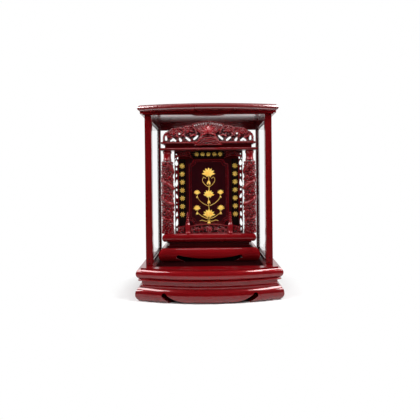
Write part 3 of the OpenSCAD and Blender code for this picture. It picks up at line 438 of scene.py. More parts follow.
def meshObject(name, parts, mat, sharp=45):
    verts, faces, relief, base = [], [], [], 0
    for v, f, r in parts:
        verts.append(np.asarray(v, float))
        faces.extend([tuple(int(i) + base for i in face) for face in f])
        relief.append(np.broadcast_to(np.asarray(r, float), (len(v),)))
        base += len(v)
    mesh = bpy.data.meshes.new(name)
    mesh.from_pydata((np.concatenate(verts) * mm).tolist(), [], faces)
    layer = mesh.attributes.new("relief", "FLOAT", "POINT")
    layer.data.foreach_set("value", np.concatenate(relief).astype(np.float32))
    mesh.shade_smooth()
    mesh.set_sharp_from_angle(angle=radians(sharp))
    mesh.materials.append(mat)
    return addObject(name, mesh)


def dress(obj, body, slot, *replaced):
    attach(obj, body)
    if replaced:
        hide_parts(*replaced)


# a right-hand carving and its mirror image on the left
def dressPair(right, node=None):
    mesh = right.data.copy()
    mesh.name = right.name.replace("Right", "Left")
    mesh.transform(Matrix.Scale(-1, 4, (1, 0, 0)))
    mesh.flip_normals()
    left = addObject(mesh.name, mesh)
    for obj, side in ((right, "_right"), (left, "_left")):
        dress(obj, "tablet", "carved_lacquer", *([node + side] if node else []))


def unit(v):
    v = np.asarray(v, float)
    return v / np.maximum(np.linalg.norm(v, axis=-1, keepdims=True), 1e-9)


# smooth path through a few points
def smoothPath(points, count):
    p = np.asarray(points, float)
    p = np.vstack([2 * p[0] - p[1], p, 2 * p[-1] - p[-2]])
    out = []
    for t in np.linspace(0, len(p) - 3 - 1e-6, count):
        k = int(t)
        u = t - k
        a, b, c, d = p[k:k + 4]
        out.append(0.5 * (2 * b + (c - a) * u + (2 * a - 5 * b + 4 * c - d) * u ** 2
                          + (3 * b - a - 3 * c + d) * u ** 3))
    return np.array(out)


# faces of a stack of rings, closed at both ends
def ringFaces(count, sides):
    faces = []
    for a in range(0, (count - 1) * sides, sides):
        b = a + sides
        faces += [(a + i, a + (i + 1) % sides, b + (i + 1) % sides, b + i) for i in range(sides)]
    faces.append(tuple(range(sides - 1, -1, -1)))
    faces.append(tuple((count - 1) * sides + i for i in range(sides)))
    return faces


# tube along a path, wide across its first side vector by the given stretch
def tube(points, radii, sides, first=None, stretch=1.0):
    pts = np.asarray(points, float)
    radii = np.broadcast_to(np.asarray(radii, float), (len(pts),))
    tangent = unit(np.gradient(pts, axis=0))
    side = unit(np.cross(tangent[0], askew))
    angles = np.linspace(0, 2 * pi, sides, endpoint=False)
    verts = []
    for k, t in enumerate(tangent):
        if first is not None:
            side = first[k]
        side = unit(side - t * (side @ t))
        other = np.cross(t, side)
        verts.append(pts[k] + radii[k] * (np.cos(angles)[:, None] * side
                                          + stretch * np.sin(angles)[:, None] * other))
    return np.concatenate(verts), ringFaces(len(pts), sides), raised


# tube along a smooth path, with one radius for each of its points
def stem(points, radii, sides=6):
    return tube(smoothPath(points, count=len(radii)), radii, sides=sides)


def ball(centre, radii, axes=((1, 0, 0), (0, 1, 0), (0, 0, 1)), around=12, rows=8):
    radii = np.broadcast_to(np.asarray(radii, float), (3,))
    verts = [(0, 0, -1.0)]
    for j in range(1, rows):
        lat = -pi / 2 + pi * j / rows
        for i in range(around):
            lon = 2 * pi * i / around
            verts.append((cos(lat) * cos(lon), cos(lat) * sin(lon), sin(lat)))
    verts.append((0, 0, 1.0))
    verts = np.asarray(centre, float) + (np.array(verts) * radii) @ np.asarray(axes, float)
    last = len(verts) - 1
    faces = [(0, 1 + (i + 1) % around, 1 + i) for i in range(around)]
    for j in range(rows - 2):
        a, b = 1 + j * around, 1 + (j + 1) * around
        faces += [(a + i, a + (i + 1) % around, b + (i + 1) % around, b + i) for i in range(around)]
    a = 1 + (rows - 2) * around
    faces += [(a + i, a + (i + 1) % around, last) for i in range(around)]
    return verts, faces, raised


def lathe(profile, centre, sides=48):
    ang = np.linspace(0, 2 * pi, sides, endpoint=False)
    rings = [np.stack([centre[0] + r * np.cos(ang), centre[1] + r * np.sin(ang), np.full(sides, z)], 1)
             for r, z in profile]
    return np.concatenate(rings), ringFaces(len(profile), sides), turned


# node trees: shapes set out on points, and tubes along paths

def newTree(name, sockets):
    tree = bpy.data.node_groups.new(name, "GeometryNodeTree")
    for label, kind in (("Geometry", "Geometry"), *sockets, ("Finish", "Material")):
        tree.interface.new_socket(label, in_out="INPUT", socket_type="NodeSocket" + kind)
    tree.interface.new_socket("Geometry", in_out="OUTPUT", socket_type="NodeSocketGeometry")
    return tree, tree.nodes.new("NodeGroupInput").outputs


def finishTree(tree, given, geometry):
    for kind in ("RealizeInstances", "SetShadeSmooth"):
        geometry = addNode(tree, "GeometryNode" + kind, {"Geometry": geometry}).outputs["Geometry"]
    paint = addNode(tree, "GeometryNodeSetMaterial", {"Geometry": geometry, "Material": given["Finish"]})
    addNode(tree, "NodeGroupOutput", {"Geometry": paint.outputs["Geometry"]})
    return tree


def setOutTree():
    tree, given = newTree("setOut", [("Shape", "Object"), ("Swell", "Float"), ("Seed", "Int")])

    def stored(label, kind="FLOAT_VECTOR"):
        named = addNode(tree, "GeometryNodeInputNamedAttribute", {"Name": label}, data_type=kind)
        return named.outputs["Attribute"]

    shape = addNode(tree, "GeometryNodeObjectInfo", {"Object": given["Shape"]}).outputs["Geometry"]
    axes = {"Primary Axis": stored("upward"), "Secondary Axis": stored("along")}
    turn = addNode(tree, "FunctionNodeAxesToRotation", axes, primary_axis="Z", secondary_axis="X")
    least = arithmetic(tree, "SUBTRACT", 1.0, given["Swell"])
    most = arithmetic(tree, "ADD", 1.0, given["Swell"])
    # inputs 2 and 3 and output 1 are those of a single number
    spread = {2: least, 3: most, "Seed": given["Seed"]}
    vary = addNode(tree, "FunctionNodeRandomValue", spread, data_type="FLOAT").outputs[1]
    scale = arithmetic(tree, "MULTIPLY", stored("grow", "FLOAT"), vary)
    placed = {"Points": given["Geometry"], "Instance": shape, "Rotation": turn.outputs["Rotation"],
              "Scale": scale}
    copies = addNode(tree, "GeometryNodeInstanceOnPoints", placed).outputs["Instances"]
    return finishTree(tree, given, copies)


def sweepTree():
    tree, given = newTree("sweepAlong", [("Thickness", "Float"), ("Sides", "Int")])
    ring = addNode(tree, "GeometryNodeCurvePrimitiveCircle",
                   {"Resolution": given["Sides"], "Radius": given["Thickness"]}).outputs["Curve"]
    width = tree.nodes.new("GeometryNodeInputRadius").outputs["Radius"]
    sweep = {"Curve": given["Geometry"], "Profile Curve": ring, "Scale": width, "Fill Caps": True}
    return finishTree(tree, given, addNode(tree, "GeometryNodeCurveToMesh", sweep).outputs["Mesh"])


trees = {"setOut": setOutTree(), "sweepAlong": sweepTree()}


def bakeTree(data, name, treeName, values):
    source = addObject(data.name, data)
    mod = source.modifiers.new("build", "NODES")
    mod.node_group = trees[treeName]
    for item in trees[treeName].interface.items_tree:
        if item.item_type == "SOCKET" and item.in_out == "INPUT" and item.name in values:
            mod[item.identifier] = values[item.name]
    deps = bpy.context.evaluated_depsgraph_get()
    mesh = bpy.data.meshes.new_from_object(source.evaluated_get(deps))
    mesh.name = name
    source.modifiers.clear()
    bpy.data.objects.remove(source)
    return addObject(name, mesh)


def setOut(name, shape, places, ups, alongs, grows, mat, swell, seed=3):
    mesh = bpy.data.meshes.new(name + "Points")
    mesh.from_pydata((np.asarray(places, float) * mm).tolist(), [], [])
    vector, number = ("FLOAT_VECTOR", "vector"), ("FLOAT", "value")
    layers = (("upward", ups, vector), ("along", alongs, vector), ("grow", grows, number))
    for label, values, (kind, key) in layers:
        layer = mesh.attributes.new(label, kind, "POINT")
        layer.data.foreach_set(key, np.asarray(values, float).ravel())
    made = bakeTree(mesh, name, "setOut", {"Shape": shape, "Swell": swell, "Seed": seed, "Finish": mat})
    bpy.data.objects.remove(shape)
    return made


def sweepAlong(name, paths, thickness, mat, sides=8, closed=False):
    curve = bpy.data.curves.new(name + "Path", "CURVE")
    curve.dimensions = "3D"
    for points, width in paths:
        spline = curve.splines.new("POLY")
        spline.points.add(len(points) - 1)
        co = np.ones((len(points), 4))
        co[:, :3] = np.asarray(points, float) * mm
        spline.points.foreach_set("co", co.ravel())
        spline.points.foreach_set("radius", np.full(len(points), width))
        spline.use_cyclic_u = closed
    return bakeTree(curve, name, "sweepAlong", {"Thickness": thickness * mm, "Sides": sides, "Finish": mat})


# relief carving: strokes raise a board, its outline and holes follow a cover field

def newField(x0, x1, z0, z1, step, wrap=None):
    xs = np.linspace(x0, x1, int(round((x1 - x0) / step)) + 1)
    zs = np.linspace(z0, z1, int(round((z1 - z0) / step)) + 1)
    gridX, gridZ = np.meshgrid(xs, zs, indexing="ij")
    return {"xs": xs, "zs": zs, "X": gridX, "Z": gridZ, "step": step, "wrap": wrap,
            "cover": np.full(gridX.shape, -50.0), "height": np.zeros(gridX.shape)}


# grid lines of a field within a distance of a place
def nearby(lines, place, far, step):
    first = max(int((place - far - lines[0]) / step), 0)
    last = min(int((place + far - lines[0]) / step) + 2, len(lines))
    return slice(first, last)


def disc(field, x, z, r, lift, cut=False):
    step, wrap = field["step"], field["wrap"]
    for shift in (0,) if wrap is None else (-wrap, 0, wrap):
        far = r + 3 * step
        area = nearby(field["xs"], x + shift, far, step), nearby(field["zs"], z, far, step)
        if any(part.start >= part.stop for part in area):
            continue
        d = np.hypot(field["X"][area] - x - shift, field["Z"][area] - z)
        if cut:
            field["cover"][area] = np.minimum(field["cover"][area], d - r)
            continue
        field["cover"][area] = np.maximum(field["cover"][area], r - d)
        if lift:
            bulge = lift * np.sqrt(np.clip(1 - (d / r) ** 2, 0, 1))
            field["height"][area] = np.maximum(field["height"][area], bulge)


def stroke(field, points, radii, lift, cut=False):
    pts = np.asarray(points, float)
    radii = np.broadcast_to(np.asarray(radii, float), (len(pts),))
    lifts = np.broadcast_to(np.asarray(lift, float), (len(pts),))
    run = np.concatenate([[0], np.cumsum(np.hypot(*np.diff(pts, axis=0).T))])
    spacing = max(0.3 * radii.min(), 0.45)
    count = max(int(run[-1] / spacing), 2)
    for s in np.linspace(0, run[-1], count):
        disc(field, *[np.interp(s, run, values) for values in (pts[:, 0], pts[:, 1], radii, lifts)], cut)


def box(field, x0, z0, x1, z1):
    across = np.minimum(field["X"] - x0, x1 - field["X"])
    upright = np.minimum(field["Z"] - z0, z1 - field["Z"])
    field["cover"] = np.maximum(field["cover"], np.minimum(across, upright))


# how far a grid lies inside a circle
def roundDepth(field, x, z, r):
    return r - np.hypot(field["X"] - x, field["Z"] - z)


def polar(x, z, r, degrees):
    a = radians(degrees)
    return x + r * cos(a), z + r * sin(a)


# arc over a centre, its angles measured from the top
def archLine(x, z, wide, tall, start, end, count):
    return [(x + wide * sin(a), z + tall * cos(a)) for a in np.linspace(start, end, count)]


# half a ring, standing on its ends
def ripple(x, z, r, count):
    return [(x + r * cos(a), z + r * sin(a)) for a in np.linspace(0.1, 3.04, count)]


# leaf or petal: a pointed stroke with a raised mid rib
leafSet = {"count": 14, "share": 0.9, "begin": 0.08, "least": 0.45, "rib": 0.55, "ribLift": 0.6}


def leaf(field, x, z, angle, length, width, lift, bend=0.0, blunt=0.8):
    s = leafSet
    t = np.linspace(0, 1, s["count"])
    a = radians(angle) + radians(bend) * t
    steps = np.stack([np.cos(a), np.sin(a)], 1) * length / (s["count"] - 1)
    pts = np.array([x, z]) + np.vstack([[0, 0], np.cumsum(steps[:-1], axis=0)])
    swell = np.sin(pi * np.clip(t * s["share"] + s["begin"], 0, 1)) ** blunt
    wide = np.maximum(width / 2 * swell, s["least"])
    stroke(field, pts, wide, lift=lift)
    stroke(field, pts[2:-1], s["rib"], lift=lift + s["ribLift"])


# leaf scroll: a spiral that tapers and rises to a bead in its eye
scrollSet = {"count": 40, "eye": 0.16, "tip": 0.62, "rootLift": 0.8, "bead": 1.15}


def scroll(field, x, z, r, hand, start, width, lift, turns=1.5):
    s = scrollSet
    t = np.linspace(0, 1, s["count"])
    a = radians(start) + hand * 2 * pi * turns * t
    rho = r + (r * s["eye"] - r) * t
    pts = np.stack([x + rho * np.cos(a), z + rho * np.sin(a)], 1)
    wide = np.linspace(width, width * s["tip"], len(pts))
    stroke(field, pts, wide, lift=np.linspace(lift * s["rootLift"], lift, len(pts)))
    disc(field, x, z, width * s["bead"], lift=lift * s["bead"])


# solid from a field: raised front towards -Y, flat back, walls snapped to the outline
def fieldPart(field, faceY, backY, top):
    cover, step = field["cover"], field["step"]
    inside = cover > -0.5 * step
    cells = inside[:-1, :-1] & inside[1:, :-1] & inside[1:, 1:] & inside[:-1, 1:]
    count = np.zeros(inside.shape, int)
    for di in (0, 1):
        for dj in (0, 1):
            count[di:di + cells.shape[0], dj:dj + cells.shape[1]] += cells
    used = count > 0
    rim = used & (count < 4)
    gx, gz = np.gradient(cover, field["xs"], field["zs"])
    norm = np.hypot(gx, gz) + 1e-6
    snap = 0.8 * step
    shift = np.clip(cover, -snap, snap) * rim
    x = np.clip(field["X"] - shift * gx / norm, field["xs"][0], field["xs"][-1])
    z = np.clip(field["Z"] - shift * gz / norm, field["zs"][0], field["zs"][-1])
    n = int(used.sum())
    index = np.full(inside.shape, -1)
    index[used] = np.arange(n)
    height = np.clip(field["height"], 0, None)
    front = np.stack([x[used], faceY - height[used], z[used]], 1)
    back = np.stack([x[used], np.full(n, backY), z[used]], 1)
    a, b, c, d = index[:-1, :-1], index[1:, :-1], index[1:, 1:], index[:-1, 1:]
    faces = np.stack([a[cells], b[cells], c[cells], d[cells]], 1).tolist()
    faces += (np.stack([a[cells], d[cells], c[cells], b[cells]], 1) + n).tolist()
    pad = np.pad(cells, 1)
    beside = (pad[1:-1, :-2], pad[2:, 1:-1], pad[1:-1, 2:], pad[:-2, 1:-1])
    for p, q, neighbour in zip((a, b, c, d), (b, c, d, a), beside):
        edge = cells & ~neighbour
        faces += np.stack([q[edge], p[edge], p[edge] + n, q[edge] + n], 1).tolist()
    # relief share for the painted shade: the raised front by its height, the flat back at a middle share
    relief = np.concatenate([np.clip(height[used] / top, 0, 1), np.full(n, behind)])
    return np.concatenate([front, back]), faces, relief


def carving(name, field, s, *more):
    part = fieldPart(field, s["face"], s["back"], s["top"])
    return meshObject(name, [part, *more], finish["carved"], sharp=60)


# crown: lotus and fan of rays in the dome, leaf scrolls in the shoulders, scalloped rim, pierced foot

crownSet = {
    "half": 155.0, "height": 71.0, "z": 504.0, "face": -11.0, "back": -1.0, "top": 6.0, "step": 0.75,
    "dome": (55.0, 150.0), "inset": 2.2, "boards": [(133, 25), (154, 12)],
    "lobes": [(66.6, 27, 30), (97.6, 22.5, 28), (114.7, 23.5, 24), (125, 9, 30)],
    "scallops": {"inset": 3.4, "pitch": 6.0, "size": 3.35, "lift": 3.6, "clear": 4.2, "low": 12, "under": 3,
        "dome": (-51, 51, 17), "ends": (58, 54), "lobe": (3, 178)},
    "curls": [(69, 37, 9.5), (95, 33, 8.5), (116, 29, 8.0), (138, 21, 7.0)],
    "curlLeaves": {"count": 7, "start": -95, "pitch": 32, "out": 0.95, "width": 0.62, "lift": 3.6,
        "bend": 20},
    "berries": {"count": 5, "start": 195, "pitch": 38, "out": 1.35, "low": 15, "size": 2.0, "lift": 3.2},
    "flowers": [(59, 22), (83, 24), (82, 41), (106, 40), (107, 20), (126, 33), (127, 15)],
    "tendrils": [(52, 24, 22, 205), (62, 17, 20, 160), (82, 20, 20, 215), (91, 18, 19, 150),
        (106, 18, 18, 215), (111, 16, 16, 150), (130, 17, 16, 215), (134, 15, 14, 160)],
    "footCurls": (32, 57, 84, 105, 131), "footBeads": (14, 152, 7),
    "endStem": [(150.5, 2), (151, 12), (148, 22), (141, 30)],
    "holes": [(((142, 8.5), (143, 17)), (4.2, 3.4)),
        (((111, 4.0), (118.5, 8), (126, 4.0)), (3.0, 4.6, 3.0)), (((93, 5), (96.5, 11)), (4.6, 2.6)),
        (((63, 5), (68, 9), (74, 13.5)), (3.4, 3.8, 3.0)),
        (((36.5, 19), (42, 13.5), (47.5, 9)), (2.6, 3.8, 3.4)), (((97, 26.6), (97.3, 27.4)), (2.9, 2.9))],
    "rays": {"spread": 47, "count": 15, "hub": 29, "low": 5, "length": 61, "longer": 9.5},
    "fanEdge": [(23, 27), (38, 41), (52, 55)],
    "lotus": 33, "seeds": (4.8, 31.5, 0.6),
    "petals": [(7, 168, 27, 11, 4.2), (5, 112, 26, 11, 5.2), (3, 52, 25, 10, 6.2)]
}


def crownRim(s, lobes, domeDepth):
    half, big = s["dome"]
    edge = s["scallops"]
    inset = edge["inset"]
    rim = [(x, s["height"] - big + sqrt((big - inset) ** 2 - x * x)) for x in np.linspace(*edge["dome"])]
    rim += [(side * (half - inset), z) for side in (-1, 1) for z in edge["ends"]]
    for x, z, r in lobes:
        pitch = np.degrees(edge["pitch"] / r)
        ring = [polar(x, z, r - inset, a) for a in np.arange(*edge["lobe"], pitch)]
        others = [lobe for lobe in lobes if lobe[0] != x]
        rim += [(px, pz) for px, pz in ring
                if all(hypot(px - ox, pz - oz) > near - edge["clear"] for ox, oz, near in others)]
    return [(x, z) for x, z in rim
            if z > edge["low"] and (abs(x) < half or domeDepth(x, z) < edge["under"])]


# one shoulder: leaf scrolls turning outwards, flowers, tendrils over the foot, holes between the stems
def crownShoulder(field, s, side):
    leaves, berries = s["curlLeaves"], s["berries"]
    for k, (x, z, r) in enumerate(s["curls"]):
        hand = side if k % 2 else -side
        scroll(field, side * x, z, r, hand, start=200 if side > 0 else -20, width=2.5, lift=4.4, turns=1.6)
        for j in range(leaves["count"]):
            out = 90 + side * (leaves["start"] + leaves["pitch"] * j)
            leaf(field, *polar(side * x, z, r * leaves["out"], out), out, length=r * leaves["out"],
                 width=r * leaves["width"], lift=leaves["lift"], bend=leaves["bend"] * side)
        for j in range(berries["count"]):
            turn = berries["start"] + berries["pitch"] * j
            berryX, berryZ = polar(side * x, z, r * berries["out"], turn)
            disc(field, berryX, max(berryZ, berries["low"]), berries["size"], lift=berries["lift"])
    for x, z in s["flowers"]:
        for j in range(5):
            leaf(field, side * x, z, 90 + 72 * j, length=5.4, width=3.6, lift=3.4)
        disc(field, side * x, z, r=1.5, lift=4.2)
    for x, z, length, turn in s["tendrils"]:
        leaf(field, side * x, z, turn if side > 0 else 180 - turn,
             length=length, width=6.8, lift=3.8, bend=-28 * side)
    for x in s["footCurls"]:
        scroll(field, side * x, z=6.5, r=4.8, hand=side, start=90, width=1.7, lift=3.0, turns=1.3)
    for x in range(*s["footBeads"]):
        disc(field, side * x, z=1.6, r=2.1, lift=2.0)
    stroke(field, [(side * x, z) for x, z in s["endStem"]], radii=2.6, lift=3.6)
    for path, r in s["holes"]:
        stroke(field, [(side * x, z) for x, z in path], r, lift=0, cut=True)


def crownFan(field, s):
    rays = s["rays"]
    hub, low = rays["hub"], rays["low"]
    for a in np.linspace(-rays["spread"], rays["spread"], rays["count"]):
        turn = radians(a)
        length = rays["length"] + rays["longer"] * (a / rays["spread"]) ** 2 - hub
        leaf(field, hub * sin(turn), low + hub * cos(turn), 90 - a, length=length, width=6.6, lift=3.0)
    for side in (-1, 1):
        stroke(field, [(side * x, z) for x, z in s["fanEdge"]], radii=(1.5, 1.4, 1.2), lift=4.4)
    stroke(field, archLine(0, low, hub, tall=22, start=-0.95, end=0.95, count=40), radii=1.5, lift=4.4)


# three rows of petals, seed head, two leaves under it
def crownLotus(field, s):
    for count, spread, length, width, lift in s["petals"]:
        for a in np.linspace(90 - spread / 2, 90 + spread / 2, count):
            leaf(field, 0, s["lotus"], a, length=length, width=width, lift=lift, blunt=0.7)
    pitch, level, droop = s["seeds"]
    for k in range(-2, 3):
        disc(field, pitch * k, level - droop * k * k, r=3.2, lift=5.4)
    for side in (-1, 1):
        leaf(field, side * 4, 27, 90 - side * 96, length=24, width=8.5, lift=4.2, bend=-side * 18)
        scroll(field, side * 26, z=14, r=6, hand=side, start=90, width=2.2, lift=3.8, turns=1.4)
    stroke(field, archLine(0, -36, 49.5, tall=55, start=-0.9, end=0.9, count=40), radii=1.2, lift=3.6)


def buildCrown():
    s = crownSet
    field = newField(-s["half"] - 1, s["half"] + 1, 0, s["height"] + 1, s["step"])
    lobes = [(side * x, z, r) for x, z, r in s["lobes"] for side in (1, -1)]
    half, big = s["dome"]

    def domeDepth(x, z):
        return np.minimum(big - np.hypot(x, z - s["height"] + big), half - np.abs(x))

    field["cover"] = np.maximum(field["cover"], domeDepth(field["X"], field["Z"]) - s["inset"])
    for x, z, r in lobes:
        disc(field, x, z, r - s["inset"], lift=0)
    for x, z in s["boards"]:
        box(field, -x, 0, x, z)
    for x, z in crownRim(s, lobes, domeDepth):
        disc(field, x, z, s["scallops"]["size"], lift=s["scallops"]["lift"])
    for side in (-1, 1):
        crownShoulder(field, s, side)
    crownFan(field, s)
    crownLotus(field, s)
    part = fieldPart(field, s["face"], s["back"], s["top"])
    part[0][:, 2] += s["z"]
    crown = meshObject("crownCarving", [part], finish["carved"], sharp=60)
    dress(crown, "tablet", "carved_lacquer", "crown")
    print("crown:", len(crown.data.polygons), "faces")


# spandrels: an arched foot with a raised edge, scrolls with leaves, a few holes

spandrelSet = {
    "box": (53.0, 117.0, 447.0, 474.0), "step": 0.6, "rise": 10, "face": 5.4, "back": 10.0, "top": 4,
    "leafTurns": (20, 321, 75),
    "curls": [(63, 466, 5.5, 1, 250), (76, 467, 4.6, -1, 290), (90, 467, 4.6, 1, 250),
        (104, 465, 6.0, -1, 290), (111, 457, 4.0, 1, 60)],
    "beads": [(57, 456), (69, 461), (84, 463), (97, 462), (114, 468), (112, 451)],
    "holes": [(70.2, 470, 2.2), (97, 470.5, 2.4), (110, 463, 2.0)]
}


def buildSpandrels():
    s = spandrelSet
    x0, x1, z0, z1 = s["box"]
    field = newField(x0, x1, z0, z1, s["step"])
    mid, half, rise = (x0 + x1) / 2, (x1 - x0) / 2, s["rise"]
    arch = (half * half + rise * rise) / (2 * rise)
    low = z0 + rise - arch
    box(field, x0 - 1, z0 - 1, x1 + 1, z1 + 1)
    field["cover"] = np.minimum(field["cover"], -roundDepth(field, mid, low, arch))
    edge = archLine(mid, low, arch + 1.3, arch + 1.3, start=-0.62, end=0.62, count=40)
    stroke(field, edge, radii=1.2, lift=3.2)
    stroke(field, [(x0, z1 - 1.2), (x1, z1 - 1.2)], radii=1.2, lift=2.6)
    for x, z, r, hand, start in s["curls"]:
        scroll(field, x, z, r, hand, start, width=1.6, lift=3.4)
        for out in range(*s["leafTurns"]):
            leaf(field, *polar(x, z, r, out), out + 25 * hand,
                 length=7.5, width=3.6, lift=2.9, bend=20 * hand)
    for x, z in s["beads"]:
        disc(field, x, z, r=1.8, lift=2.8)
    for hole in s["holes"]:
        disc(field, *hole, lift=0, cut=True)
    dressPair(carving("spandrelCarvingRight", field, s), "spandrel")


# pierced leafwork between board and column; each hole is a tapering slot: level, height, width, lean

fretSet = {
    "box": (104.0, 117.0, 194.0, 447.0), "step": 0.5, "face": 12.6, "back": 18.0, "top": 3, "pitch": 15.5,
    "slots": [(434, 15, 11, 1), (414, 8, 6, 0), (391, 9, 5, -1), (365, 20, 10, -3), (342, 6, 6, 0),
        (320, 13, 8, 3), (297, 3, 3.4, 0), (283, 8, 5, 1), (258, 14, 7, -2), (229, 22, 9, -3),
        (205, 9, 5, 1)],
    "taper": (0.5, 0.85, 1.0, 0.9, 0.7, 0.5, 0.3)
}


def buildFrets():
    s = fretSet
    x0, x1, z0, z1 = s["box"]
    field = newField(x0, x1, z0, z1, s["step"])
    box(field, x0 - 1, z0 - 1, x1 + 1, z1 + 1)
    stroke(field, [(x0 + 1.2, z0), (x0 + 1.2, z1)], radii=1.7, lift=2.0)
    for k, z in enumerate(np.arange(z0 + 8, z1 - 4, s["pitch"])):
        hand = 1 if k % 2 else -1
        scroll(field, x0 + 7.2, z + 1.5, r=4.6, hand=hand, start=-90 * hand, width=1.5, lift=2.6, turns=1.4)
        leaf(field, x0 + 2, z - 7, angle=58, length=13, width=4.6, lift=2.4, bend=34)
        leaf(field, x0 + 11.5, z + 5, angle=118, length=10, width=4.0, lift=2.2, bend=-30)
        disc(field, x0 + 10.6, z - 6.5, r=1.9, lift=2.4)
    for level, tall, wide, lean in s["slots"]:
        path = [(x0 + 6.5 + lean * u, level + tall * u) for u in np.linspace(-0.5, 0.5, len(s["taper"]))]
        stroke(field, path, wide / 2 * np.array(s["taper"]), lift=0, cut=True)
    dressPair(carving("sideFretRight", field, s), "side_fret")


# fence: an open peony in the middle, scrolls with leaves on both sides

fenceSet = {
    "half": 64.2, "z": 194.0, "height": 26.0, "arch": 6.5, "step": 0.6, "face": -16.4, "back": -12.0,
    "top": 4, "leafTurns": (30, 301, 90),
    "peony": [(9, 4.6, 8, 2.6), (7, 2.7, 7, 3.3), (5, 0.7, 5, 4.0)],
    "curls": [(23, 18, 5.6, 1), (35, 11, 5.2, -1), (46, 17, 5.0, 1), (57, 11, 4.4, -1)],
    "holes": [(15.5, 23, 2.0), (17, 8, 2.0), (29, 21.5, 1.9), (27, 8, 2.0), (42, 8.5, 2.0),
        (39, 21.5, 1.8), (54, 20, 1.7)]
}


def buildFence():
    s = fenceSet
    half, z0, arch = s["half"], s["z"], s["arch"]
    field = newField(-half, half, z0, z0 + s["height"] + arch, s["step"])
    big = (half * half + arch * arch) / (2 * arch)
    low = z0 + s["height"] + arch - big
    field["cover"] = np.minimum(roundDepth(field, 0, low, big),
                                np.minimum(half + 1 - np.abs(field["X"]), field["Z"] - z0 + 1))
    rim = archLine(0, low, big - 1.6, big - 1.6, start=-0.2, end=0.2, count=60)
    stroke(field, [p for p in rim if abs(p[0]) < half], radii=1.5, lift=3.4)
    stroke(field, [(-half, z0 + 1.6), (half, z0 + 1.6)], radii=1.6, lift=3.0)
    for count, out, length, lift in s["peony"]:
        for k in range(count):
            a = 90 + 360 * k / count
            leaf(field, *polar(0, z0 + 15, out, a), a, length=length, width=5.4, lift=lift, blunt=0.6)
    for side in (-1, 1):
        for x, z, r, hand in s["curls"]:
            start = 180 if side > 0 else 0
            scroll(field, side * x, z0 + z, r, side * hand, start, width=1.7, lift=3.2)
            for out in range(*s["leafTurns"]):
                leaf(field, *polar(side * x, z0 + z, r, out), out + side * 30,
                     length=8.5, width=4.0, lift=2.7, bend=side * 25)
        for x, z, r in s["holes"]:
            disc(field, side * x, z0 + z, r, lift=0, cut=True)
    dress(carving("fenceCarving", field, s), "tablet", "carved_lacquer", "fence_panel")


# wings: quarter-round ends of the fence, highest at the finial

wingSet = {
    "x": 81.7, "z": 194.0, "length": 24.0, "height": 27.0, "drop": 8.0, "step": 0.5, "face": -16.6,
    "back": -12.0, "top": 4,
    "leaves": [(3, 6, 60), (11, 5, 20), (13, 18, -20), (19, 15, 70), (4, 20, 100), (9, 22, 10)],
    "holes": [(2.8, 14, 1.5), (12.6, 8.5, 1.7), (14.5, 14.5, 1.4)]
}


def buildWings():
    s = wingSet
    x0, z0, length, top, drop = s["x"], s["z"], s["length"], s["height"], s["drop"]
    field = newField(x0, x0 + length, z0, z0 + top, s["step"])
    sweep = (length * length + drop * drop) / (2 * drop)
    low = z0 + top - sweep
    field["cover"] = np.minimum(roundDepth(field, x0, low, sweep), field["Z"] - z0 + 1)
    edge = archLine(x0, low, sweep - 1.5, sweep - 1.5, start=0, end=0.63, count=40)
    stroke(field, edge, radii=1.5, lift=3.4)
    stroke(field, [(x0, z0 + 1.5), (x0 + length, z0 + 1.5)], radii=1.5, lift=3.0)
    stroke(field, [(x0 + length - 1.4, z0), (x0 + length - 1.4, z0 + top - drop)], radii=1.4, lift=3.0)
    scroll(field, x0 + 8, z0 + 14.5, r=5.6, hand=1, start=40, width=1.6, lift=3.2)
    scroll(field, x0 + 17, z0 + 9.5, r=4.6, hand=-1, start=220, width=1.5, lift=3.2, turns=1.4)
    for x, z, turn in s["leaves"]:
        leaf(field, x0 + x, z0 + z, turn, length=8, width=3.8, lift=2.7, bend=20)
    for x, z, r in s["holes"]:
        disc(field, x0 + x, z0 + z, r, lift=0, cut=True)
    dressPair(carving("fenceWingRight", field, s), "fence_wing")


# finials: a turned post with a flared, gadrooned body and a stack of beads

finialSet = {
    "x": 72.0, "y": -16.0, "z": 194.0, "height": 73.0,
    "profile": [(0.01, 0), (9.4, 0), (9.4, 4.5), (8.2, 5.8), (7.6, 8), (7.6, 28), (7.0, 33), (6.0, 36),
        (5.6, 37.5), (6.8, 38.6), (6.9, 39.8), (5.4, 41), (3.4, 41.6)],
    "flutes": [(7.2, 7), (7.5, 16), (7.3, 27), (6.0, 35)], "fluteCount": 10,
    "fluteRadii": [0.6, 1.2, 1.5, 1.6, 1.6, 1.5, 1.2, 0.5],
    "beads": [(45.2, 5.4), (54.0, 4.8), (62.0, 4.1), (68.8, 3.1)],
    "beadArc": (-1.2, 1.2, 9), "beadNeck": 1.4, "beadSquash": 0.8, "tip": [(1.2, 1.6), (0.3, 0.2)]
}


def buildFinials():
    s = finialSet
    x, y, foot = s["x"], s["y"], s["z"]
    profile = list(s["profile"])
    for z, r in s["beads"]:
        profile += [(max(r * cos(a), s["beadNeck"]), z + r * sin(a) * s["beadSquash"])
                    for a in np.linspace(*s["beadArc"])]
    profile += [(r, s["height"] - drop) for r, drop in s["tip"]]
    parts = [lathe([(r, foot + z) for r, z in profile], (x, y), sides=40)]
    for k in range(s["fluteCount"]):
        a = 2 * pi * k / s["fluteCount"]
        path = [(x + r * cos(a), y + r * sin(a), foot + z) for r, z in s["flutes"]]
        parts.append(stem(path, s["fluteRadii"]))
    dressPair(meshObject("fenceFinialRight", parts, finish["carvedTop"], sharp=50), "fence_finial")


buildCrown()
buildSpandrels()
buildFrets()
buildFence()
buildWings()
buildFinials()
print("screen carvings built")


# dragon columns: waves at the foot, cloud ground, coiled dragon with scales, fins, legs and a flaming pearl

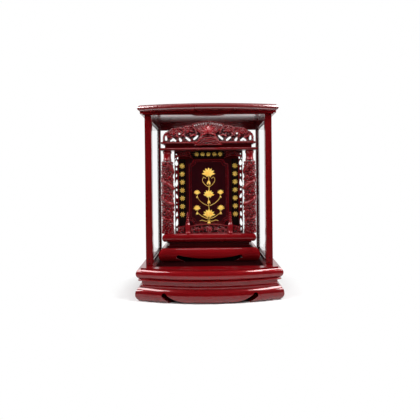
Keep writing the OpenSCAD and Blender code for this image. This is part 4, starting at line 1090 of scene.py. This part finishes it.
columnSet = {
    "x": 140.0, "y": -2.0, "foot": 194.0, "carveTop": 440.0, "ground": 16.6, "deepen": 1.3,
    "unroll": 18.0, "step": 0.8, "around": 9, "most": 4.2, "lit": 3.2,
    "cloudRows": (227, 437, 9.0), "cloudSize": 4.5, "cloudVary": 0.6, "cloudRise": 1.4,
    "waveRows": (195, 202, 209), "waveRings": (6.2, 4.1, 2.0), "crestLevel": 218.5,
    "flare": (1.6, 218, 24), "neck": (2.5, 434, 6), "coils": 3.25, "endTurn": -122.0, "z0": 224.0,
    "z1": 415.0, "pathCount": 300, "bodyRho": 18.4, "bodyLift": 0.2, "bodyStretch": 1.3,
    "sway": (2.5, 2.3), "pearl": (-52, 20.6, 427.0),
    "thick": ([0, 0.12, 0.35, 0.75, 0.92, 1], [1.0, 2.2, 4.0, 4.6, 4.2, 4.0]),
    "legs": [(0.30, 1), (0.47, 1), (0.70, -1), (0.86, 1)],
    "shaft": [(12.6, 430), (12.9, 441), (14.6, 442), (15.0, 443.5), (14.6, 445), (13.4, 446), (13.0, 448),
        (13.0, 462), (13.6, 464), (15.0, 466), (15.6, 468.5), (15.0, 471), (14.4, 472), (14.4, 474)]
}


def onColumn(turn, rho, z):
    return np.array([columnSet["x"] + rho * cos(turn), columnSet["y"] + rho * sin(turn), z])


# places on the column by their turn and rise from a given point, and their distance from its axis
def windPath(turn, z, places, hand=1):
    return [onColumn(turn + a, rho, z + hand * h) for a, rho, h in places]


def sway(turn):
    wide, often = columnSet["sway"]
    return wide * sin(often * turn)


def columnGround():
    s = columnSet
    wrap = 2 * pi * s["unroll"]
    field = newField(0, wrap, s["foot"], s["carveTop"], s["step"], wrap)
    pitch = wrap / s["around"]
    for j, z in enumerate(np.arange(*s["cloudRows"])):
        for k in range(s["around"]):
            hand = 1 if (j + k) % 2 else -1
            x = (k + 0.5 * (j % 2)) * pitch
            size = s["cloudSize"] + s["cloudVary"] * sin(3 * k + j)
            rise = s["cloudRise"] * sin(2.1 * k + j)
            scroll(field, x, z + rise, size, hand, 90 + 70 * hand, width=1.4, lift=3.0, turns=1.6)
            leaf(field, x + hand * 4.6, z - 2.8, 90 - hand * 60,
                 length=7.5, width=2.4, lift=2.2, bend=hand * 35)
    for j, z in enumerate(s["waveRows"]):
        for k in range(s["around"]):
            for r in s["waveRings"]:
                stroke(field, ripple((k + 0.5 * (j % 2)) * pitch, z, r, count=18), radii=0.95, lift=3.0)
    for k in range(s["around"]):
        scroll(field, (k + 0.5) * pitch, s["crestLevel"], r=3.8, hand=1, start=-60,
               width=1.4, lift=3.6, turns=1.3)
    height = np.clip(field["height"][:-1], 0, s["most"])
    turns = (field["xs"][:-1] / s["unroll"])[:, None]
    levels = field["zs"][None, :]
    wider, flareTop, flareTall = s["flare"]
    slimmer, neckFoot, neckTall = s["neck"]
    rho = (s["ground"] + s["deepen"] * height + wider * np.clip((flareTop - levels) / flareTall, 0, 1) ** 2
           - slimmer * np.clip((levels - neckFoot) / neckTall, 0, 1))
    around, rows = height.shape
    verts = np.stack([s["x"] + rho * np.cos(turns), s["y"] + rho * np.sin(turns),
                      np.broadcast_to(levels, rho.shape)], 2).reshape(-1, 3)
    faces = []
    for i in range(around):
        a, b = i * rows, (i + 1) % around * rows
        faces += [(a + j, b + j, b + j + 1, a + j + 1) for j in range(rows - 1)]
    faces.append(tuple(i * rows for i in range(around - 1, -1, -1)))
    faces.append(tuple(i * rows + rows - 1 for i in range(around)))
    # relief share for the painted shade: the lower the ground lies, the darker it is painted
    return verts, faces, np.clip(height / s["lit"], 0, 1).ravel()


def dragonPath():
    s = columnSet
    t = np.linspace(0, 1, s["pathCount"])
    turn = radians(s["endTurn"]) - 2 * pi * s["coils"] * (1 - t)
    thick = np.interp(t, *s["thick"])
    low, climb = s["z0"], s["z1"] - s["z0"]
    points = np.array([onColumn(a, s["bodyRho"] + s["bodyLift"] * r, low + climb * u + sway(a))
                       for a, r, u in zip(turn, thick, t)])
    radial = np.stack([np.cos(turn), np.sin(turn), 0 * turn], 1)
    return turn, thick, points, radial


# head, by forward, side and up: snout, jaw and tongue; eyes, nostrils and ears; brows, horns and whiskers
headSet = {
    "skull": (5.6, 4.6, 4.4), "aim": (0.8, 0.3), "nod": (0.62, 0.85), "ahead": 4.0,
    "snout": ([(2, 0, 0.2), (7, 0, 1.0), (11.5, 0, 0.4)], (4.2, 4.0, 3.6, 3.2, 3.0, 3.1, 3.2, 2.2), 12),
    "jaw": ([(0, 0, -3), (6, 0, -4.6), (10, 0, -4.2)], (2.6, 2.5, 2.3, 2.1, 2.0, 1.9, 1.7, 1.1), 10),
    "tongue": ([(4, 0, -2), (9, 0, -2.4), (13, 0, -3.4)], (1.2, 1.1, 1.0, 0.9, 0.9, 0.8, 0.6, 0.3), 6),
    "knobs": [((3.4, 3.3, 2.6), 1.4, 10), ((11.4, 1.7, 2.2), 1.3, 10),
        ((-2, 4.9, 1.6), (3.2, 1.0, 1.7), 8)],
    "brow": ([(6, 2.8, 3.4), (2, 4.2, 4.6), (-2, 4.8, 5.2)], (0.5, 0.8, 1.0, 1.1, 1.0, 0.9, 0.7, 0.4), 6),
    "horn": ([(-1, 1.8, 3.6), (-5, 3.0, 6.2), (-9, 3.6, 6.2), (-12, 3.2, 8.6)],
        (1.5, 1.4, 1.3, 1.2, 1.1, 1.0, 0.9, 0.8, 0.6, 0.3), 8),
    "whisker": ([(10, 2.6, 0.5), (13, 5.5, 1.5), (10, 8.5, 3.5), (5, 9.5, 6.5)],
        np.linspace(0.75, 0.3, 12), 6),
    "mane": [(-2, 3.6, 0, 3.4), (-6, 5.4, 0, 5.0), (-9.5, 5.2, 1.6, 5), (-12, 7.0, 1.0, 6.6)],
    "maneRadii": (1.5, 1.6, 1.5, 1.4, 1.2, 1.0, 0.8, 0.6, 0.3),
    "maneCount": 10,
    "beard": [(7, 1.4, -5.6), (6.5, 2.0, -9), (4, 2.6, -11.5)],
    "beardRadii": (0.9, 1.0, 1.0, 0.9, 0.8, 0.7, 0.5, 0.25)
}


def dragonHead(points, radial):
    s = headSet
    onward, outward = s["aim"]
    forward = unit(onward * unit(points[-1] - points[-4]) + outward * radial[-1])
    outward, upward = s["nod"]
    up = unit(outward * radial[-1] + np.array((0, 0, upward)))
    up = unit(up - forward * (up @ forward))
    axes = (forward, np.cross(up, forward), up)
    core = points[-1] + s["ahead"] * forward

    def at(places, side=1):
        return [core + f * axes[0] + side * across * axes[1] + u * axes[2] for f, across, u in places]

    def feature(name, side=1):
        path, radii, count = s[name]
        return stem(at(path, side), radii, count)

    parts = [ball(core, s["skull"], axes), feature("snout"), feature("jaw"), feature("tongue")]
    for k in (-1, 1):
        parts += [ball(at([place], k)[0], size, axes, around, rows=6) for place, size, around in s["knobs"]]
        parts += [feature(name, k) for name in ("brow", "horn", "whisker")]
    for a in np.linspace(0, 2 * pi, s["maneCount"], endpoint=False):
        c, d = cos(a), sin(a)
        parts.append(stem(at([(f, p * c + q * d, u * d) for f, p, q, u in s["mane"]]), s["maneRadii"]))
    parts += [stem(at(s["beard"], k), s["beardRadii"]) for k in (-1, 0, 1)]
    return parts


legSet = {
    "limb": [(0, 19.5, 0), (0.28, 21.2, -6.5), (0.55, 21.4, -10), (0.78, 21.0, -6)],
    "limbRadii": (3.0, 1.7, 14), "paw": (0.84, 4.6), "pawRho": 20.8, "pawSize": 2.4,
    "clawRadii": (1.3, 1.2, 1.1, 1.0, 0.8, 0.6, 0.25), "tuftRadii": (1.2, 1.2, 1.1, 1.0, 0.8, 0.6, 0.25)
}


def dragonLeg(turn, z, hand):
    s = legSet
    parts = [stem(windPath(turn, z, s["limb"], hand), np.linspace(*s["limbRadii"]), sides=10)]
    paw, level = turn + s["paw"][0], z - s["paw"][1] * hand
    parts.append(ball(onColumn(paw, s["pawRho"], level), s["pawSize"], around=10, rows=6))
    for k in range(4):
        a = radians(-60 + 45 * k)
        c, d = cos(a), sin(a)
        claw = [(0, 21.2, 0), (0.18 * c, 22.6, 3.8 * d), (0.29 * c, 21.0, 6.2 * d)]
        parts.append(stem(windPath(paw, level, claw), s["clawRadii"]))
    for k in range(3):
        tuft = [(0.28, 21.2, -6), (0.12 - 0.1 * k, 22.4, -9 - k), (-0.12 - 0.05 * k, 21.8, 2.5 * k - 13)]
        parts.append(stem(windPath(turn, z, tuft, hand), s["tuftRadii"]))
    return parts


flameRadii = (1.3, 1.3, 1.2, 1.1, 0.9, 0.7, 0.5, 0.2)


def flamingPearl(degrees, rho, z):
    turn = radians(degrees)
    parts = [ball(onColumn(turn, rho, z), radii=3.2)]
    for k in range(6):
        a = radians(20 + 60 * k)
        flame = [(0.12 * cos(a), rho, 2.4 * sin(a)),
                 (0.28 * cos(a + 0.4), rho + 0.6, 5.2 * sin(a + 0.4)),
                 (0.36 * cos(a), rho - 0.4, 8.0 * sin(a))]
        parts.append(stem(windPath(turn, z, flame), flameRadii))
    return parts


# cloud heads midway between the coils, three lobes and a trailing wisp each
cloudSet = {
    "span": 60, "steps": (2, 21), "range": (228, 428),
    "lobes": [(0, 18.6, 1.2, 3.7, 12, 8), (-0.23, 18.4, -1.6, 2.6, 10, 6),
        (0.23, 18.4, -1.6, 3.0, 10, 6)],
    "wisp": [(0.2, 19.2, -2.5), (0.5, 20.2, -3.8), (0.72, 20.4, -1.6), (0.6, 20.2, 0.8)],
    "wispRadii": (1.9, 0.8, 9)
}


def cloudHeads():
    s = columnSet
    parts = []
    climb = (s["z1"] - s["z0"]) / (2 * pi * s["coils"])
    low, high = cloudSet["range"]
    for k in range(*cloudSet["steps"]):
        turn = radians(s["endTurn"] - cloudSet["span"] * k)
        z = s["z1"] + climb * (pi - radians(cloudSet["span"] * k)) + sway(turn)
        if low < z < high:
            for a, rho, h, size, around, rows in cloudSet["lobes"]:
                parts.append(ball(onColumn(turn + a, rho, z + h), size, around=around, rows=rows))
            parts.append(stem(windPath(turn, z, cloudSet["wisp"]), np.linspace(*cloudSet["wispRadii"])))
    return parts


# scales on the outer side of the body and fins along its upper edge
scaleSet = {
    "scale": [(-1.7, 0, -0.5), (-0.9, 1.5, -0.3), (0.8, 1.5, 0.1), (2.1, 0, 0.5), (0.8, -1.5, 0.1),
        (-0.9, -1.5, -0.3), (0.5, 0, 0.95), (0, 0, -0.9)],
    "scaleFaces": [(0, 6, 1), (1, 6, 2), (2, 6, 3), (3, 6, 4), (4, 6, 5), (5, 6, 0), (1, 7, 0), (2, 7, 1),
        (3, 7, 2), (4, 7, 3), (5, 7, 4), (0, 7, 5)],
    "fin": [(2.3, 0.7, -0.8), (-2.3, 0.7, -0.8), (-2.3, -0.7, -0.8), (2.3, -0.7, -0.8), (-2.4, 0, 3.9)],
    "finFaces": [(3, 2, 1, 0), (0, 1, 4), (1, 2, 4), (2, 3, 4), (3, 0, 4)],
    "scalePitch": 3.0, "scaleEnds": (14, 4), "scaleTurn": 25, "scaleShift": 12.5, "leastGrow": 0.45,
    "growth": 8, "finPitch": 4.2, "finEnds": (10, 6), "finTurn": -70, "finSize": 0.95
}


def dragonScales(thick, points, radial):
    s = scaleSet
    shapes = [meshObject(kind + "Shape", [(s[kind], s[kind + "Faces"], 1)], finish["carvedTop"])
              for kind in ("scale", "fin")]
    tangent = unit(np.gradient(points, axis=0))
    run = np.concatenate([[0], np.cumsum(np.linalg.norm(np.diff(points, axis=0), axis=1))])
    scales, fins = ([], [], [], []), ([], [], [], [])
    stretch = columnSet["bodyStretch"]

    def put(rows, travel, around, grow):
        k = int(np.searchsorted(run, travel))
        t = tangent[k]
        side = unit(radial[k] - t * (radial[k] @ t))
        other = np.cross(t, side)
        a = radians(around)
        r = thick[k]
        up = unit(cos(a) * side + sin(a) / stretch * other)
        place = points[k] + r * (cos(a) * side + stretch * sin(a) * other)
        for column, value in zip(rows, (place, up, -t, grow * (s["leastGrow"] + r / s["growth"]))):
            column.append(value)

    first, last = s["scaleEnds"]
    for j, travel in enumerate(np.arange(first, run[-1] - last, s["scalePitch"])):
        for k in range(-4, 4):
            put(scales, travel, s["scaleTurn"] * (k + 0.5 * (j % 2)) + s["scaleShift"], 1.0)
    first, last = s["finEnds"]
    for travel in np.arange(first, run[-1] - last, s["finPitch"]):
        put(fins, travel, s["finTurn"], s["finSize"])
    return [setOut("dragonScalesRight", shapes[0], *scales, finish["carvedTop"], swell=0.06),
            setOut("dragonFinsRight", shapes[1], *fins, finish["carvedTop"], swell=0.1)]


def buildColumns():
    s = columnSet
    turn, thick, points, radial = dragonPath()
    parts = [columnGround(), lathe(s["shaft"], (s["x"], s["y"]))]
    parts.append(tube(points, thick, sides=14, first=radial, stretch=s["bodyStretch"]))
    parts += dragonHead(points, radial)
    for t, hand in s["legs"]:
        k = int(t * (s["pathCount"] - 1))
        parts += dragonLeg(turn[k], points[k][2], hand)
    parts += cloudHeads()
    parts += flamingPearl(*s["pearl"])
    column = meshObject("dragonColumnRight", parts, finish["carved"], sharp=60)
    dressPair(column, "dragon_column")
    for piece in dragonScales(thick, points, radial):
        dressPair(piece)
    print("columns:", len(column.data.polygons), "faces each")


buildColumns()


# arch plaque: three bands round a field of wave scales

archSet = {
    "half": 46.0, "foot": 490.0, "rise": 27.0, "face": -30.0, "back": -26.0, "top": 3, "step": 0.6,
    "bands": [(51.2, 1.5, 3.0), (44.5, 1.3, 2.6), (37.5, 1.3, 2.6)],
    "beadRings": (47.8, 41.0), "beadTurns": (-0.98, 0.99, 0.085), "waveRings": (3.0, 1.5),
    "waveRows": (1, 14, 3.2), "waveAcross": (-40, 40.1, 6.4), "tongueRelief": 0.3,
    "tongue": (-23.0, 23.0, -26.2, -16.0, 490.0, 493.0)
}


def buildArch():
    s = archSet
    half, foot, rise = s["half"], s["foot"], s["rise"]
    big = (half ** 2 + rise ** 2) / (2 * rise)
    low = foot + rise - big
    field = newField(-half, half, foot, foot + rise, s["step"])
    field["cover"] = np.minimum(roundDepth(field, 0, low, big), field["Z"] - foot + 1)
    first, last, pitch = s["waveRows"]
    for row, z in enumerate(np.arange(foot + first, foot + last, pitch)):
        for x in np.arange(*s["waveAcross"]) + pitch * (row % 2):
            if hypot(x, z + 2 - low) < s["bands"][-1][0] - 1:
                for r in s["waveRings"]:
                    stroke(field, ripple(x, z, r, count=12), radii=0.6, lift=1.5)
    for r, wide, lift in s["bands"]:
        stroke(field, archLine(0, low, r, r, start=-1.1, end=1.1, count=90), wide, lift=lift)
    for a in np.arange(*s["beadTurns"]):
        for r in s["beadRings"]:
            disc(field, r * sin(a), low + r * cos(a), r=1.5, lift=1.8)
    stroke(field, [(-half, foot + 1.2), (half, foot + 1.2)], radii=1.2, lift=2.8)
    x0, x1, y0, y1, z0, z1 = s["tongue"]
    corners = [(x, y, z) for z in (z0, z1) for y in (y0, y1) for x in (x0, x1)]
    faces = [(0, 2, 3, 1), (4, 5, 7, 6), (0, 1, 5, 4), (1, 3, 7, 5), (3, 2, 6, 7), (2, 0, 4, 6)]
    tongue = corners, faces, s["tongueRelief"]
    dress(carving("archCarving", field, s, tongue), "tablet", "carved_lacquer", "arch_plaque")


# gilt ornament in the places of the panels: rosettes, and a lotus spray in the middle

giltSet = {
    "petal": [(-0.2, 0, 0.3), (1.6, -1.0, 0.15), (3.6, -1.25, 0.1), (5.6, -0.8, 0.1), (7.0, 0, 0.05),
        (5.6, 0.8, 0.1), (3.6, 1.25, 0.1), (1.6, 1.0, 0.15), (3.4, 0, 0.95), (3.4, 0, -0.3)],
    "couplet": (90.5, 4.9, [422.6 - 27.6 * k for k in range(7)], 1.1),
    "header": (-1.4, 462.5, [-40, -20, 0, 20, 40], 0.95), "spray": 4.6,
    "outerTurns": (22.5, 360, 45), "outerRadius": 1.9, "innerTurns": (90, 450, 72), "innerSize": 0.5,
    "sepals": (-160, -130, -50, -20), "sepalDrop": 0.5, "sepalSize": 1.2,
    "leaves": (-110, -70), "leafDrop": 14, "leafSize": 1.5,
    "blooms": [(0, 394, 1.5), (0, 322, 1.25), (0, 254, 1.4), (-40, 330, 0.75), (40, 330, 0.75),
        (-41, 276, 0.85), (41, 276, 0.85)],
    "bloomRows": [(7, 170, 2.2, 0), (5, 110, 2.0, 0.5), (3, 54, 1.7, 1.0)],
    "stem": [(0, 238), (1.5, 262), (-1.2, 300), (1.2, 345), (0, 392)],
    "branches": [([(2, 240), (20, 248), (38, 262), (41, 276)], 0.8),
        ([(3, 286), (22, 296), (37, 312), (40, 330)], 0.8),
        ([(0, 350), (12, 358), (21, 372), (17, 384), (9, 379)], 0.8),
        ([(0, 236), (10, 233), (24, 237), (32, 234)], 0.9)]
}


def buildGilt():
    s = giltSet
    ring = len(s["petal"]) - 2
    faces = [(ring, (i + 1) % ring, i) for i in range(ring)]
    faces += [(ring + 1, i, (i + 1) % ring) for i in range(ring)]
    petal = meshObject("petalShape", [(s["petal"], faces, 1)], finish["gilt"])
    rows = ([], [], [], [])

    def put(x, y, z, turn, grow):
        a = radians(turn)
        for column, value in zip(rows, ((x, y, z), (0, -1, 0), (cos(a), 0, sin(a)), grow)):
            column.append(value)

    def rosette(x, y, z, size):
        for turn in np.arange(*s["outerTurns"]):
            px, pz = polar(x, z, s["outerRadius"] * size, turn)
            put(px, y, pz, turn, size)
        for turn in range(*s["innerTurns"]):
            put(x, y - s["innerSize"] * size, z, turn, size * s["innerSize"])

    def bloom(x, y, z, size):
        for count, spread, grow, lift in s["bloomRows"]:
            for turn in np.linspace(90 - spread / 2, 90 + spread / 2, count):
                put(x, y - lift, z, turn, grow * size)
        for turn in s["sepals"]:
            put(x, y, z - s["sepalDrop"], turn, s["sepalSize"] * size)

    x, y, levels, size = s["couplet"]
    for level in levels:
        for side in (-1, 1):
            rosette(side * x, y, level, size)
    y, level, places, size = s["header"]
    for x in places:
        rosette(x, y, level, size)
    y = s["spray"]
    for x, z, size in s["blooms"]:
        bloom(x, y, z, size)
        for turn in s["leaves"]:
            put(x, y, z - s["leafDrop"] * size, turn, s["leafSize"] * size)
    dress(setOut("giltFlowers", petal, *rows, finish["gilt"], swell=0.04), "tablet", "gilt")
    stems = [(s["stem"], 1.0)]
    stems += [([(side * x, z) for x, z in path], width)
              for side in (-1, 1) for path, width in s["branches"]]
    paths = [(smoothPath([(x, y, z) for x, z in path], count=24), width) for path, width in stems]
    stems = sweepAlong("giltStems", paths, thickness=0.9, mat=finish["gilt"], sides=6)
    dress(stems, "tablet", "gilt")


# beads that frame the name panel and the couplets, and pegs through the post tenons
# each bead of the panel: its shift at the sides, below and above, its depth and its width

frameSet = {
    "half": 63.5, "low": 226.0, "high": 441.0, "corner": 15.0,
    "beads": [(3.0, -3.0, 2.6, 2.2, 1.0), (0.4, -0.4, 0.4, 2.6, 0.8), (-4.0, 4.0, -4.0, 4.9, 0.7)],
    "coupletX": 103.6, "coupletY": 5.2, "coupletZ": (206.0, 447.0, 6),
    "pegs": [(190.5, 125.0), (189.0, 111.0)], "postY": -88.0, "pegSize": (2.0, 0.35, 2.0)
}


def scoopedLine(half, low, high, corner, y, count=14):
    points = []
    for cx, cz, start in ((half, high, 180), (half, low, 90), (-half, low, 0), (-half, high, -90)):
        for degrees in np.linspace(start, start + 90, count):
            x, z = polar(cx, cz, corner, degrees)
            points.append((x, y, z))
    return points


def buildFrames():
    s = frameSet
    lines = [(scoopedLine(s["half"] + out, s["low"] + below, s["high"] + above, s["corner"], y), width)
             for out, below, above, y, width in s["beads"]]
    beads = sweepAlong("nameFrame", lines, thickness=0.9, mat=finish["carvedTop"], closed=True)
    dress(beads, "tablet", "carved_lacquer")
    strips = [([(side * s["coupletX"], s["coupletY"], z) for z in np.linspace(*s["coupletZ"])], 1.0)
              for side in (-1, 1)]
    beads = sweepAlong("coupletBeads", strips, thickness=0.8, mat=finish["carvedTop"])
    dress(beads, "tablet", "carved_lacquer")
    pegs = [ball((side * x, s["postY"], z), s["pegSize"], around=16)
            for side in (-1, 1) for x, z in s["pegs"]]
    dress(meshObject("postPegs", pegs, finish["black"]), "case", "black_lacquer")


buildArch()
buildGilt()
buildFrames()
print("arch, gilding and frames built")
